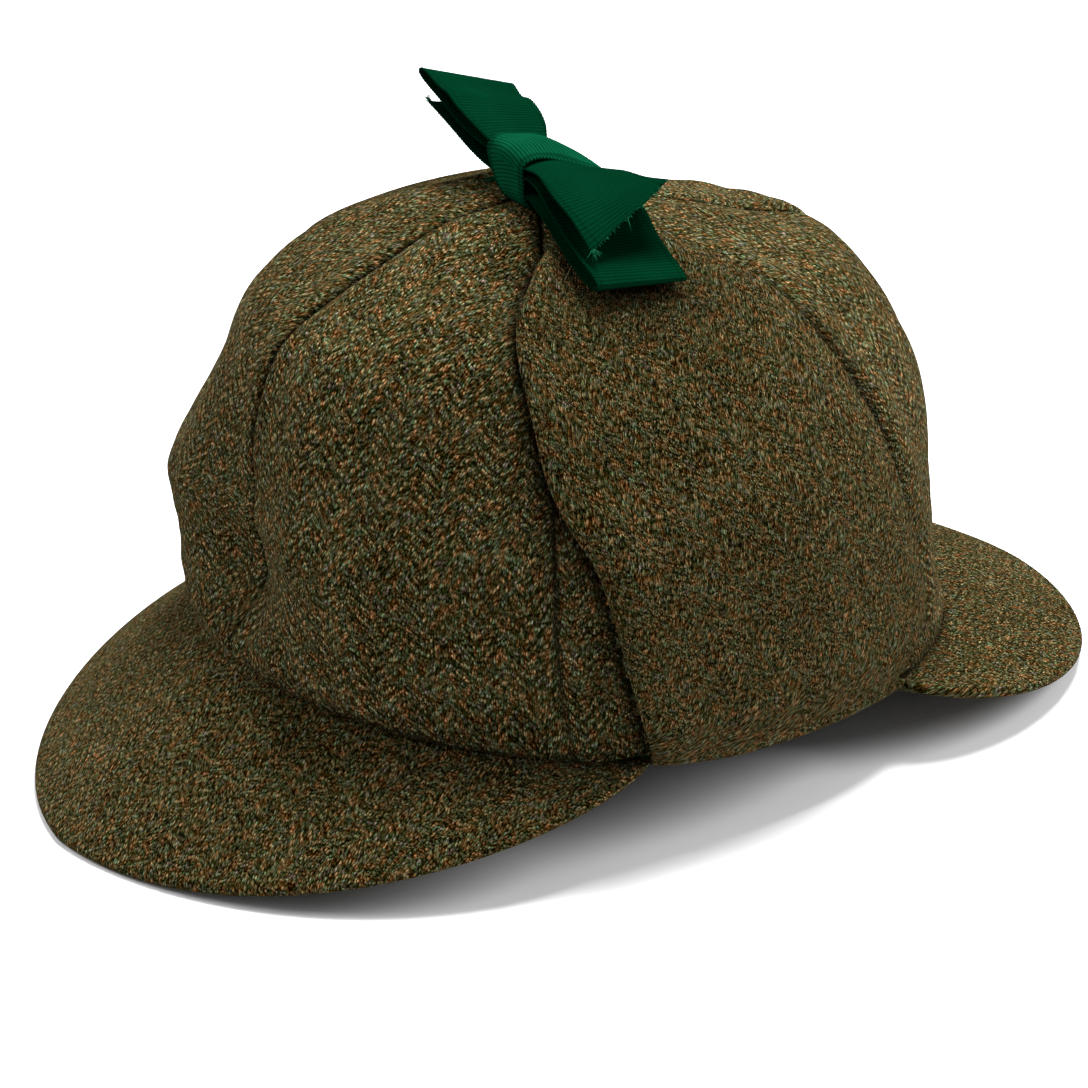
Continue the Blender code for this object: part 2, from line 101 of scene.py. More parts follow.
class Graph:
    """The node tree of one finish, with its surface shader."""

    def __init__(self, name: str) -> None:
        """Start an empty material of a name."""
        self.material = bpy.data.materials.new(name)
        self.material.use_nodes = True
        self.tree = self.material.node_tree
        self.tree.nodes.clear()

    def node(
        self,
        kind: str,
        settings: dict[str, object] | None = None,
        inputs: dict[str, object] | None = None,
    ) -> bpy.types.Node:
        """Add a node.

        Args:
            kind: The node's type.
            settings: Its settings, which are set first; "stops" are a ramp's stops.
            inputs: The values of its sockets, or the signals and sockets that feed them.

        Returns:
            The node.
        """
        made = self.tree.nodes.new(kind)
        for name, value in (settings or {}).items():
            if name == "stops":
                self._set_stops(made.color_ramp, value)
            else:
                setattr(made, name, value)
        for name, value in (inputs or {}).items():
            socket = next(each for each in made.inputs if name in (each.identifier, each.name))
            if isinstance(value, Signal):
                value = value.socket
            if isinstance(value, bpy.types.NodeSocket):
                self.tree.links.new(value, socket)
            else:
                socket.default_value = value
        return made

    @staticmethod
    def _set_stops(ramp: bpy.types.ColorRamp, stops: list[tuple[float, tuple[float, ...]]]) -> None:
        """Give a ramp its stops, each a place and a colour."""
        for place, colour in stops[2:]:
            ramp.elements.new(place)
        for element, (place, colour) in zip(ramp.elements, stops):
            element.position = place
            element.color = (*colour, 1.0)

    def math(self, operation: str, first: Signal | float, second: Signal | float = 0.0) -> Signal:
        """A Math node on two numbers."""
        made = self.node("ShaderNodeMath", {"operation": operation}, {"Value": first, "Value_001": second})
        return Signal(self, made.outputs["Value"])

    def vector(
        self, operation: str, first: object, second: object = (0.0, 0.0, 0.0)
    ) -> bpy.types.NodeSocket:
        """A Vector Math node on two vectors."""
        made = self.node(
            "ShaderNodeVectorMath", {"operation": operation}, {"Vector": first, "Vector_001": second}
        )
        return made.outputs["Vector"]

    def point(self, x: Signal | float, y: Signal | float) -> bpy.types.NodeSocket:
        """A point on the flat cloth, from two numbers."""
        return self.node("ShaderNodeCombineXYZ", None, {"X": x, "Y": y}).outputs["Vector"]

    def split(self, vector: bpy.types.NodeSocket) -> tuple[Signal, Signal]:
        """The first two numbers of a vector."""
        made = self.node("ShaderNodeSeparateXYZ", None, {"Vector": vector})
        return Signal(self, made.outputs["X"]), Signal(self, made.outputs["Y"])

    def noise(self, at: object, scale: float, detail: float = 2.0, rough: float = 0.5) -> Signal:
        """Soft noise from 0 to 1 on the flat cloth."""
        made = self.node(
            "ShaderNodeTexNoise",
            {"noise_dimensions": "2D"},
            {"Vector": at, "Scale": scale, "Detail": detail, "Roughness": rough},
        )
        return Signal(self, made.outputs["Fac"])

    def ramp(self, share: Signal, stops: list[tuple[float, tuple[float, ...]]]) -> bpy.types.NodeSocket:
        """A colour from a number."""
        return self.node("ShaderNodeValToRGB", {"stops": stops}, {"Fac": share}).outputs["Color"]

    def mix(
        self, share: Signal | float, first: object, second: object, blend: str = "MIX"
    ) -> bpy.types.NodeSocket:
        """Two colours, blended."""
        made = self.node(
            "ShaderNodeMix",
            {"data_type": "RGBA", "blend_type": blend},
            {"Factor_Float": share, "A_Color": first, "B_Color": second},
        )
        return next(each for each in made.outputs if each.identifier == "Result_Color")

    def grey(self, value: Signal) -> bpy.types.NodeSocket:
        """A number as a colour of three equal parts."""
        made = self.node("ShaderNodeCombineColor", None, {"Red": value, "Green": value, "Blue": value})
        return made.outputs["Color"]

    def scaled(self, colour: object, by: Signal) -> bpy.types.NodeSocket:
        """A colour times a number."""
        return self.mix(1.0, colour, self.grey(by), "MULTIPLY")

    def cloth_map(self) -> bpy.types.NodeSocket:
        """The place on the flat cloth, in mm, from the "weave" map."""
        flat = self.node("ShaderNodeUVMap", {"uv_map": "weave"}).outputs["UV"]
        return self.vector("MULTIPLY", flat, (1000.0, 1000.0, 0.0))

    def attribute(self, name: str) -> Signal:
        """A number that is kept on the mesh's points."""
        return Signal(self, self.node("ShaderNodeAttribute", {"attribute_name": name}).outputs["Fac"])

    def bump(self, height: Signal, depth: float) -> bpy.types.NodeSocket:
        """A normal that leans as a height of 0 to 1 times a depth in metres does."""
        return self.node("ShaderNodeBump", None, {"Height": height, "Distance": depth}).outputs["Normal"]

    def surface(self, inputs: dict[str, object]) -> bpy.types.Material:
        """Finish the material with a Principled shader of these inputs."""
        shader = self.node("ShaderNodeBsdfPrincipled", None, inputs)
        output = self.node("ShaderNodeOutputMaterial")
        self.tree.links.new(shader.outputs["BSDF"], output.inputs["Surface"])
        return self.material


@dataclass(frozen=True)
class Tweed:
    """Wool tweed: a herringbone of marled yarns, felted and hairy. Lengths in mm."""

    name: str = "tweed"
    # How wide and how long a stitch is, and by how many degrees it leans.
    stitch: tuple[float, float] = (0.62, 1.22)
    slant: float = 12.0
    # The herringbone's stripes and ribs, how strongly the ribs show, and how far the
    # stitches stray from their rows.
    stripe: float = 6.6
    rib: float = 3.3
    twill: float = 0.80
    disorder: float = 0.75
    # How the threads are pushed about. Columns: turns in a mm, reach.
    sways: tuple[tuple[float, float], ...] = ((0.10, 1.6), (0.70, 0.40), (2.2, 0.22))
    # How far the wools stray from their middle by stitch and by patch, the patches' turns
    # in a mm across and along, and how much warmer than the middle the cloth is.
    mottle: float = 0.40
    patchiness: float = 3.2
    patch: tuple[float, float] = (0.50, 0.28)
    warmth: float = 0.02
    # The size of a fibre and of a wisp of felt, in stitches.
    fibre: tuple[float, float] = (0.36, 0.70)
    wisp: tuple[float, float] = (0.60, 1.60)
    # How far the cloth is felted, how strongly single hairs show on it, and their colour.
    felting: float = 0.25
    hairiness: float = 0.30
    strand: tuple[float, float, float] = (0.210, 0.160, 0.095)
    # How deep the relief is, in metres, how light the cloth is, and how dark the deepest painted shade is.
    depth: float = 0.00025
    gain: float = 0.083
    crease_shade: float = 0.85
    # What the dye takes out of every colour, most of all out of the blue, and the darkest
    # that it leaves.
    stain: tuple[float, float, float] = (0.0022, 0.0026, 0.0064)
    darkest: tuple[float, float, float] = (0.0005, 0.0004, 0.0001)
    # What wools are blended in it: rust, brown, ochre, olive, moss, green, grey and heather.
    wools: tuple[tuple[float, tuple[float, float, float]], ...] = (
        (0.00, (0.88, 0.40, 0.18)),
        (0.18, (0.84, 0.49, 0.24)),
        (0.34, (0.78, 0.57, 0.27)),
        (0.48, (0.60, 0.50, 0.28)),
        (0.62, (0.46, 0.56, 0.25)),
        (0.78, (0.24, 0.46, 0.26)),
        (0.90, (0.40, 0.50, 0.38)),
        (1.00, (0.66, 0.48, 0.40)),
    )

    def material(self) -> bpy.types.Material:
        """Build the material, which reads the "weave" map and the attribute of painted shade that darkens
        it.
        """
        graph = Graph(self.name)
        flat = graph.cloth_map()
        for turns, reach in self.sways:
            flat = self._sway(graph, flat, turns, reach)
        across, along = graph.split(flat)
        # The places are counted across to the stripe's width and back, which turns the
        # twill's slope round at each stripe of the herringbone.
        place = across + 100.0 * self.stripe
        folded = graph.math("PINGPONG", place, self.stripe)
        stripe = graph.math("FLOOR", place / self.stripe)
        turn = math.radians(self.slant)
        beside = (across * math.cos(turn) - along * math.sin(turn)) / self.stitch[0] + stripe * 0.5
        onward = (along * math.cos(turn) + across * math.sin(turn)) / self.stitch[1] + folded * 0.35
        stitches = graph.node(
            "ShaderNodeTexVoronoi",
            {"voronoi_dimensions": "2D"},
            {"Vector": graph.point(beside, onward), "Scale": 1.0, "Randomness": self.disorder},
        )
        wave = graph.math("SINE", (folded + along) * (2 * math.pi / self.rib)) * 0.5 + 0.5
        rib = wave.between(0.05, 0.75)
        # Each stitch has a lightness and a wool of its own, and the wools drift in patches.
        patch = graph.point(across * self.patch[0], along * self.patch[1])
        blend = graph.noise(patch, 1.0, 3.0, 0.65)
        chance = graph.node("ShaderNodeSeparateColor", None, {"Color": stitches.outputs["Color"]})
        slub = Signal(graph, chance.outputs["Red"]) ** 2.0 * 2.1 + 0.45
        kind = Signal(graph, chance.outputs["Green"])
        middle = 0.50 - self.mottle / 2 - self.warmth
        wool = graph.ramp(kind * self.mottle + (blend - 0.5) * self.patchiness + middle, list(self.wools))
        grain = 1.0 - Signal(graph, stitches.outputs["Distance"]).between(0.12, 0.58)
        # Wool fibres lie over the stitches, more in some places than in others.
        fibres = graph.noise(graph.point(beside / self.fibre[0], onward / self.fibre[1]), 1.0, 2.0, 0.6)
        fuzz = graph.noise(graph.point(beside / self.wisp[0], onward / self.wisp[1]), 1.0, 3.0, 0.7)
        felt = graph.noise(flat, 0.09, 2.0).between(0.35, 0.75) * self.felting
        woven = grain * (rib * self.twill + (1.0 - self.twill))
        relief = woven * (1.0 - felt) + fuzz.between(0.32, 0.72) * felt
        drift = graph.noise(flat, 0.035, 3.0)
        lightness = slub * (0.06 + relief) * graph.math("MAXIMUM", fibres * 3.8 - 0.9, 0.08)
        lightness = lightness * (0.72 + drift * 0.56) * (self.gain * 2)
        colour = graph.scaled(wool, lightness)
        strands = self._strands(graph, flat, 0.75) + self._strands(graph, flat, 1.25)
        colour = graph.mix(strands * self.hairiness, colour, (*self.strand, 1.0))
        colour = graph.vector("MAXIMUM", graph.vector("SUBTRACT", colour, self.stain), self.darkest)
        # Painted shade: the colour is darkened where the mesh says the cloth lies in a crease, beside a
        # flap or under the bow.
        colour = graph.scaled(colour, 1.0 - graph.attribute("crease_and_painted_shade") * self.crease_shade)
        height = relief + fibres * 0.35 + strands * 0.3
        return graph.surface(
            {
                "Base Color": colour,
                "Roughness": 0.95,
                "Specular IOR Level": 0.0,
                "Sheen Weight": 0.02,
                "Sheen Roughness": 0.5,
                "Sheen Tint": (1.0, 0.80, 0.50, 1.0),
                "Normal": graph.bump(height, self.depth),
            }
        )

    @staticmethod
    def _sway(graph: Graph, flat: object, scale: float, reach: float) -> bpy.types.NodeSocket:
        """Push the flat cloth's threads sideways by soft noise."""
        noise = graph.node(
            "ShaderNodeTexNoise",
            {"noise_dimensions": "2D"},
            {"Vector": flat, "Scale": scale, "Detail": 1.0},
        )
        centred = graph.vector("SUBTRACT", noise.outputs["Color"], (0.5, 0.5, 0.5))
        return graph.vector("ADD", flat, graph.vector("MULTIPLY", centred, (reach, reach, 0.0)))

    @staticmethod
    def _strands(graph: Graph, flat: object, scale: float) -> Signal:
        """Thin curly lines, broken up, where single fibres lie on the cloth: 1 on a line."""
        winding = graph.noise(graph.vector("ADD", flat, (scale * 31.0, 17.0, 0.0)), scale, 2.0, 0.6)
        lines = 1.0 - graph.math("ABSOLUTE", winding - 0.5) * 16.0
        pieces = graph.noise(flat, scale * 0.8, 1.0).between(0.52, 0.66)
        return graph.math("MAXIMUM", lines, 0.0) * pieces


@dataclass(frozen=True)
class Grosgrain:
    """Green ribbon with fine cross ribs and a satin sheen. Lengths in mm."""

    name: str = "ribbon"
    # How far apart the cross ribs and the threads along the ribbon are.
    rib: float = 1.05
    thread: float = 0.42
    width: float = 25.0
    # How strongly the ribs show, the colours on and between them, how deep they are in metres, and how dark
    # the deepest painted shade is.
    contrast: float = 0.52
    base: tuple[float, float, float] = (0.0004, 0.0188, 0.0074)
    dark: tuple[float, float, float] = (0.0001, 0.0055, 0.0020)
    depth: float = 0.00012
    crease_shade: float = 0.7
    # The darker line beside each selvedge: where it starts and ends inside the edge, how
    # far it fades on its two sides, and how dark it is.
    line: tuple[float, float] = (1.6, 0.5)
    line_fade: tuple[float, float] = (0.5, 0.4)
    line_shade: float = 0.25

    def material(self) -> bpy.types.Material:
        """Build the material, which reads the "weave" map: X across the ribbon."""
        graph = Graph(self.name)
        flat = graph.cloth_map()
        across, along = graph.split(flat)
        wander = graph.noise(graph.point(across * 0.15, along * 0.6), 1.0, 2.0)
        ribs = graph.math("ABSOLUTE", graph.math("SINE", (along + wander * 0.25) * (math.pi / self.rib)))
        threads = graph.math("ABSOLUTE", graph.math("SINE", across * (math.pi / self.thread)))
        grain = graph.noise(graph.point(across * 2.4, along * 1.3), 1.0, 3.0, 0.6)
        drift = graph.noise(flat, 0.09, 2.0)
        light = (ribs ** 0.7 - 0.75) * self.contrast + threads * 0.12
        light = light + (grain - 0.5) * 0.5 + (drift - 0.5) * 0.35
        colour = graph.mix((light + 0.54).between(-0.05, 1.0), (*self.dark, 1.0), (*self.base, 1.0))
        edge = graph.math("ABSOLUTE", across)
        start, end = (self.width / 2 - inside for inside in self.line)
        line = edge.between(start, start + self.line_fade[0])
        line = line * (1.0 - edge.between(end - self.line_fade[1], end))
        # Painted shade: the colour is darkened where the mesh says the ribbon lies under another one or
        # beside the knot's selvedges.
        shade = (1.0 - line * self.line_shade) * (1.0 - graph.attribute("crease_and_painted_shade") * self.crease_shade)
        colour = graph.scaled(colour, shade)
        height = ribs ** 0.8 + threads * 0.12 + grain * 0.15
        return graph.surface(
            {
                "Base Color": colour,
                "Roughness": 0.42 + grain * 0.16,
                "Specular IOR Level": 0.0,
                "Normal": graph.bump(height, self.depth),
            }
        )


@dataclass(frozen=True)
class LooseFibre:
    """Single hairs and threads, whose colour follows their "tone" attribute."""

    name: str
    tones: tuple[tuple[float, tuple[float, float, float]], ...]
    roughness: float = 0.6
    # The streaks along a fibre: how many there are in a metre, and how strong they are.
    streaks: float = 900.0
    streakiness: float = 0.3

    def material(self) -> bpy.types.Material:
        """Build the material."""
        graph = Graph(self.name)
        place = graph.node("ShaderNodeTexCoord").outputs["Object"]
        streak = graph.node(
            "ShaderNodeTexNoise", None, {"Vector": place, "Scale": self.streaks, "Detail": 1.0}
        )
        tone = graph.attribute("tone") + (Signal(graph, streak.outputs["Fac"]) - 0.5) * self.streakiness
        colour = graph.ramp(tone, list(self.tones))
        return graph.surface(
            {"Base Color": colour, "Roughness": self.roughness, "Specular IOR Level": 0.05}
        )


@dataclass(frozen=True)
class PaleFloor:
    """The plain ground."""

    name: str = "pale_floor"
    colour: tuple[float, float, float] = (0.72, 0.72, 0.73)

    def material(self) -> bpy.types.Material:
        """Build the material."""
        return Graph(self.name).surface(
            {"Base Color": (*self.colour, 1.0), "Roughness": 0.9, "Specular IOR Level": 0.0}
        )


# The tweed of the flaps, cut across its weave and rubbed, and that of the stiff peaks. Their lower gain is
# painted shade: it darkens the flaps and the peaks against the crown to match how light falls on them.
FELTED_TWEED = Tweed(
    name="tweed_felted",
    stitch=(0.46, 1.35),
    slant=42.0,
    hairiness=0.36,
    twill=0.55,
    warmth=0.05,
    # Painted shade: darker than the crown's tweed.
    gain=0.055,
)
STIFFENED_TWEED = Tweed(
    name="tweed_stiffened",
    slant=24.0,
    felting=0.20,
    hairiness=0.32,
    twill=0.60,
    warmth=0.04,
    # Painted shade: darker than the crown's tweed.
    gain=0.064,
)
# The ribbon where the knot pulls it tight, with deeper ribs; its brighter colour is a painted highlight, as
# the tight knot catches more light.
TAUT_PAINTED_LIT_RIBBON = Grosgrain(
    name="ribbon_taut_painted_lit",
    contrast=0.55,
    base=(0.0014, 0.0460, 0.0195),
    dark=(0.0002, 0.0100, 0.0036),
    depth=0.00016,
)
LOOSE_WOOL = LooseFibre(
    "loose_wool",
    (
        (0.0, (0.020, 0.016, 0.008)),
        (0.25, (0.060, 0.038, 0.015)),
        (0.50, (0.070, 0.068, 0.030)),
        (0.75, (0.150, 0.120, 0.065)),
        (1.0, (0.420, 0.370, 0.260)),
    ),
)
LOOSE_THREAD = LooseFibre(
    "loose_thread",
    (
        (0.0, (0.001, 0.030, 0.012)),
        (1.0, (0.002, 0.110, 0.038)),
    ),
)


# ---- Curves and grids ---------------------------------------------------------------


def bell(distance: Array, spread: Array | float) -> Array:
    """1 at no distance, falling smoothly to 0 past the spread."""
    return np.exp(-((distance / spread) ** 2))


def unit(vectors: Array) -> Array:
    """The vectors at length 1."""
    return vectors / np.maximum(np.linalg.norm(vectors, axis=-1, keepdims=True), 1e-12)


def smooth_through(knots: Array, values: Array, at: Array) -> Array:
    """A curve through the values that never overshoots them, flat at its first knot.

    Args:
        knots: Where the values are given, rising.
        values: The values there.
        at: Where the curve is wanted.

    Returns:
        The curve's values.
    """
    steps = np.diff(knots)
    slopes = np.diff(values) / steps
    tangents = np.zeros(len(knots))
    tangents[-1] = slopes[-1]
    for i in range(1, len(knots) - 1):
        if slopes[i - 1] * slopes[i] > 0:
            before = 2 * steps[i] + steps[i - 1]
            after = steps[i] + 2 * steps[i - 1]
            tangents[i] = (before + after) / (before / slopes[i - 1] + after / slopes[i])
    i = np.clip(np.searchsorted(knots, at, side="right") - 1, 0, len(steps) - 1)
    t = (at - knots[i]) / steps[i]
    return (
        (2 * t**3 - 3 * t**2 + 1) * values[i]
        + (t**3 - 2 * t**2 + t) * steps[i] * tangents[i]
        + (3 * t**2 - 2 * t**3) * values[i + 1]
        + (t**3 - t**2) * steps[i] * tangents[i + 1]
    )


def spline_rows(rows: Array, parts: int) -> Array:
    """Rows of points filled in along smooth curves through them.

    Args:
        rows: The rows that the curves pass, rows x columns x 3.
        parts: How many steps replace each step between two rows.

    Returns:
        The filled-in rows.
    """
    ends = np.concatenate([[2 * rows[0] - rows[1]], rows, [2 * rows[-1] - rows[-2]]])
    lengths = np.linalg.norm(np.diff(ends, axis=0), axis=-1).mean(axis=1)
    knots = np.concatenate([[0.0], np.cumsum(np.sqrt(lengths))])
    made = []
    for i in range(1, len(ends) - 2):
        k0, k1, k2, k3 = knots[i - 1 : i + 3]
        p0, p1, p2, p3 = ends[i - 1 : i + 3]
        last = i == len(ends) - 3
        for share in np.linspace(0, 1, parts + 1)[: parts + 1 if last else parts]:
            k = k1 + (k2 - k1) * share
            a1 = p0 + (p1 - p0) * (k - k0) / (k1 - k0)
            a2 = p1 + (p2 - p1) * (k - k1) / (k2 - k1)
            a3 = p2 + (p3 - p2) * (k - k2) / (k3 - k2)
            b1 = a1 + (a2 - a1) * (k - k0) / (k2 - k0)
            b2 = a2 + (a3 - a2) * (k - k1) / (k3 - k1)
            made.append(b1 + (b2 - b1) * (k - k1) / (k2 - k1))
    return np.array(made)


def clustered(count: int, power: float) -> Array:
    """Numbers from 0 to 1 that lie closer together at both ends."""
    t = np.linspace(-1, 1, count)
    return (1 + np.sign(t) * (1 - (1 - np.abs(t)) ** power)) / 2


def on_side(grid: Array, side: int) -> Array:
    """A grid for the wearer's left as it is (side 1), or mirrored for the right (side -1)."""
    return grid if side > 0 else grid[:, ::-1] * (-1, 1, 1)


def arc_lengths(points: Array) -> Array:
    """How far along its curve each point is, over the first axis of the array."""
    steps = np.linalg.norm(np.diff(points, axis=0), axis=-1)
    return np.concatenate([np.zeros((1, *steps.shape[1:])), np.cumsum(steps, axis=0)])


def cell_areas(grid: Array) -> Array:
    """The area of each cell of a grid of points."""
    crossed = np.cross(grid[1:, 1:] - grid[:-1, :-1], grid[1:, :-1] - grid[:-1, 1:])
    return np.linalg.norm(crossed, axis=-1) / 2


def cell_corners(rows: int, columns: int) -> tuple[Array, Array]:
    """The row and the column of each of the four corners of each cell of a grid.

    Args:
        rows: How many rows of cells there are.
        columns: How many columns of cells there are.

    Returns:
        The corners' rows and their columns, each cells x 4.
    """
    row, col = (part.ravel() for part in np.meshgrid(range(rows), range(columns), indexing="ij"))
    corner_rows = np.stack([row, row, row + 1, row + 1], axis=-1)
    return corner_rows, np.stack([col, col + 1, col + 1, col], axis=-1)


def circles(ahead: Array, lean: tuple[float, float, float], sides: int) -> Array:
    """Circles of unit radius, each round a way, to sweep thin round forms with.

    Args:
        ahead: The unit ways that the circles face.
        lean: A way that none of them faces, which they are turned by.
        sides: How many points each circle has.

    Returns:
        The circles' points from their middles, circles x sides x 3.
    """
    side = unit(np.cross(ahead, lean))
    other = np.cross(ahead, side)
    turn = np.arange(sides) * 2 * math.pi / sides
    return np.cos(turn)[None, :, None] * side[:, None] + np.sin(turn)[None, :, None] * other[:, None]


# ---- Cloth --------------------------------------------------------------------------


class Held(Enum):
    """How a sheet of cloth is held."""

    STRETCHED = "stretched"
    FOLDED = "folded"
    GATHERED = "gathered"


@dataclass
class Cloth:
    """A closed sheet of cloth with rounded edges, made from the points on its outer face.

    The outer face looks along (columns' way) x (rows' way).
    """

    outer: Array
    wall: float
    closed: bool = False
    rings: int = 3
    weave: Array | None = None
    crease_and_painted_shade: Array | None = None
    back: Array | None = None
    normals: Array = field(init=False)

    def __post_init__(self) -> None:
        """Work out the outer face's normals, and lay the cloth flat."""
        self.normals = self._face_normals()
        if self.weave is None:
            self.weave = self._laid_flat()

    def _face_normals(self) -> Array:
        """The outer face's normals."""
        grid = self.outer
        if self.closed:
            grid = np.concatenate([grid[:, -1:], grid, grid[:, :1]], axis=1)
        across = np.gradient(grid, axis=1)
        up = np.gradient(grid, axis=0)
        normals = unit(np.cross(across, up))
        return normals[:, 1:-1] if self.closed else normals

    def _joined(self) -> Array:
        """The outer face's points, with the first column again behind the last of a band."""
        return np.concatenate([self.outer, self.outer[:, :1]], axis=1) if self.closed else self.outer

    def _laid_flat(self) -> Array:
        """Where each point lies on the flat cloth: X across and Y along, in metres."""
        grid = self._joined()
        middle = grid.shape[1] // 2
        across = arc_lengths(np.swapaxes(grid, 0, 1)).T
        across = across - across[:, middle : middle + 1]
        along = arc_lengths(grid[:, middle])
        return np.stack([across, np.broadcast_to(along[:, None], across.shape)], axis=-1)

    def lay_along_rows(self) -> None:
        """Turn the flat cloth, so that Y runs along the rows and X is 0 half-way up them."""
        self.weave = self.weave[..., ::-1] - (self.weave[..., 1].mean(), 0.0)

    def flat_size(self) -> tuple[float, float, float]:
        """The width, length and area of the flat cloth, in metres."""
        grid = self._joined()
        width = float(arc_lengths(np.swapaxes(grid, 0, 1))[-1].max())
        length = float(arc_lengths(grid)[-1].max())
        return width, length, float(cell_areas(grid).sum())

    def inner(self) -> Array:
        """The points on the inner face."""
        return self.outer - self.normals * self.wall if self.back is None else self.back

    def _borders(self) -> list[tuple[Array, Array, Array]]:
        """The border as loops of (row, column), their flat places and outward ways."""
        rows, columns = self.outer.shape[:2]
        if self.closed:
            loops = [
                [(0, at) for at in range(columns + 1)],
                [(rows - 1, at) for at in range(columns, -1, -1)],
            ]
        else:
            loop = [(0, at) for at in range(columns)] + [(at, columns - 1) for at in range(1, rows)]
            loop += [(rows - 1, at) for at in range(columns - 2, -1, -1)]
            loops = [loop + [(at, 0) for at in range(rows - 2, -1, -1)]]
        borders = []
        for loop in map(np.array, loops):
            within = loop.copy()
            for axis, last in enumerate((rows - 1,) if self.closed else (rows - 1, columns - 1)):
                within[:, axis] += (loop[:, axis] == 0) * 1 - (loop[:, axis] == last) * 1
            flat = self.weave[loop[:, 0], loop[:, 1]]
            ways = unit(flat - self.weave[within[:, 0], within[:, 1]])
            borders.append((loop % (rows, columns), flat, ways))
        return borders

    def arrays(self) -> tuple[Array, Array, Array, Array]:
        """The closed sheet as arrays.

        Returns:
            Its points, its quads, the quads' corners on the flat cloth, and the points'
            crease values.
        """
        rows, columns = self.outer.shape[:2]
        inner = self.inner()
        count = rows * columns
        points = [self.outer.reshape(-1, 3), inner.reshape(-1, 3)]
        crease_and_painted_shade = np.zeros((rows, columns)) if self.crease_and_painted_shade is None else self.crease_and_painted_shade
        painted_shades = [crease_and_painted_shade.ravel(), np.zeros(count)]
        corner_rows, corner_cols = cell_corners(rows - 1, columns if self.closed else columns - 1)
        quads = corner_rows * columns + corner_cols % columns
        flats = self.weave[corner_rows, corner_cols]
        faces = [quads, quads[:, ::-1] + count]
        corners = [flats, flats[:, ::-1]]
        base = 2 * count
        for loop, flat, ways in self._borders():
            total = len(loop) - 1
            outer_at = loop[:, 0] * columns + loop[:, 1]
            place = self.outer[loop[:, 0], loop[:, 1]][:-1]
            normal = self.normals[loop[:, 0], loop[:, 1]][:-1]
            ahead = unit(np.roll(place, -1, axis=0) - place)
            along = unit(ahead + np.roll(ahead, 1, axis=0))
            outward = unit(np.cross(along, normal))
            middle = place - normal * self.wall / 2
            ids = [outer_at[:-1]]
            for k in range(1, self.rings + 1):
                angle = math.pi * k / (self.rings + 1)
                reach = self.wall / 2
                points.append(middle + (normal * math.cos(angle) + outward * math.sin(angle)) * reach)
                painted_shades.append(crease_and_painted_shade[loop[:-1, 0], loop[:-1, 1]])
                ids.append(base + np.arange(total))
                base += total
            ids.append(outer_at[:-1] + count)
            step = math.pi * self.wall / 2 / (self.rings + 1)
            for k in range(self.rings + 1):
                here, there = ids[k], ids[k + 1]
                faces.append(np.stack([here, there, np.roll(there, -1), np.roll(here, -1)], axis=-1))
                near, far = flat + ways * step * k, flat + ways * step * (k + 1)
                corners.append(np.stack([near[:-1], far[:-1], far[1:], near[1:]], axis=1))
        return tuple(np.concatenate(each) for each in (points, faces, corners, painted_shades))


def make_mesh(
    name: str, points: Array, faces: list, corners: Array | None, values: dict[str, Array]
) -> bpy.types.Mesh:
    """A smooth-shaded mesh.

    Args:
        name: The mesh's name.
        points: Its points.
        faces: The points of each face.
        corners: Where each face's corners lie on the flat cloth, if it is cloth.
        values: Numbers on the points, by the name of their attribute.

    Returns:
        The mesh.
    """
    mesh = bpy.data.meshes.new(name)
    mesh.from_pydata(np.asarray(points).tolist(), [], faces)
    if corners is not None:
        layer = mesh.uv_layers.new(name="weave")
        layer.data.foreach_set("uv", np.ascontiguousarray(corners, dtype=np.float32).ravel())
    for label, numbers in values.items():
        attribute = mesh.attributes.new(label, "FLOAT", "POINT")
        attribute.data.foreach_set("value", np.ascontiguousarray(numbers, dtype=np.float32))
    mesh.shade_smooth()
    mesh.update()
    return mesh


def add_object(name: str, data: bpy.types.ID) -> bpy.types.Object:
    """Put an object into the scene.

    Args:
        name: Its name.
        data: Its mesh, light or camera.

    Returns:
        The object.
    """
    made = bpy.data.objects.new(name, data)
    bpy.context.scene.collection.objects.link(made)
    return made


def publish(
    name: str, mesh: bpy.types.Mesh, finish: bpy.types.Material, nodes: tuple[str, ...] = ()
) -> bpy.types.Object:
    """Put a piece into the scene.

    Args:
        name: The piece's name.
        mesh: Its mesh, placed where it goes.
        finish: Its material.
        nodes: The CAD nodes that it stands for.

    Returns:
        The piece.
    """
    piece = add_object(name, mesh)
    mesh.materials.append(finish)
    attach(piece, "root")
    if nodes:
        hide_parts(*nodes)
    LOG.info("%s: %d faces", name, len(mesh.polygons))
    return piece


def publish_cloth(
    name: str,
    cloth: Cloth,
    finish: bpy.types.Material,
    node: str,
    trims: tuple[tuple[Array, Array, Array, float], ...] = (),
) -> None:
    """Put a sheet of cloth into the scene, and work out how large it was cut.

    Args:
        name: The piece's name.
        cloth: The sheet.
        finish: Its material.
        node: The CAD node that it stands for.
        trims: What is sewn to it: the points, quads and corners of each, and how deep in painted shade it
            lies.
    """
    points, faces, corners, painted_shades = cloth.arrays()
    for spots, quads, flats, depth in trims:
        faces = np.concatenate([faces, quads + len(points)])
        corners = np.concatenate([corners, flats])
        points = np.concatenate([points, spots])
        painted_shades = np.concatenate([painted_shades, np.full(len(spots), depth)])
    # The painted shade goes onto the mesh as a point attribute that the finishes read.
    mesh = make_mesh(name, points, faces.tolist(), corners, {"crease_and_painted_shade": painted_shades})
    piece = publish(name, mesh, finish, (node,))
    width, length, area = cloth.flat_size()
    area = min(area, width * length)


# ---- The crown's form ---------------------------------------------------------------


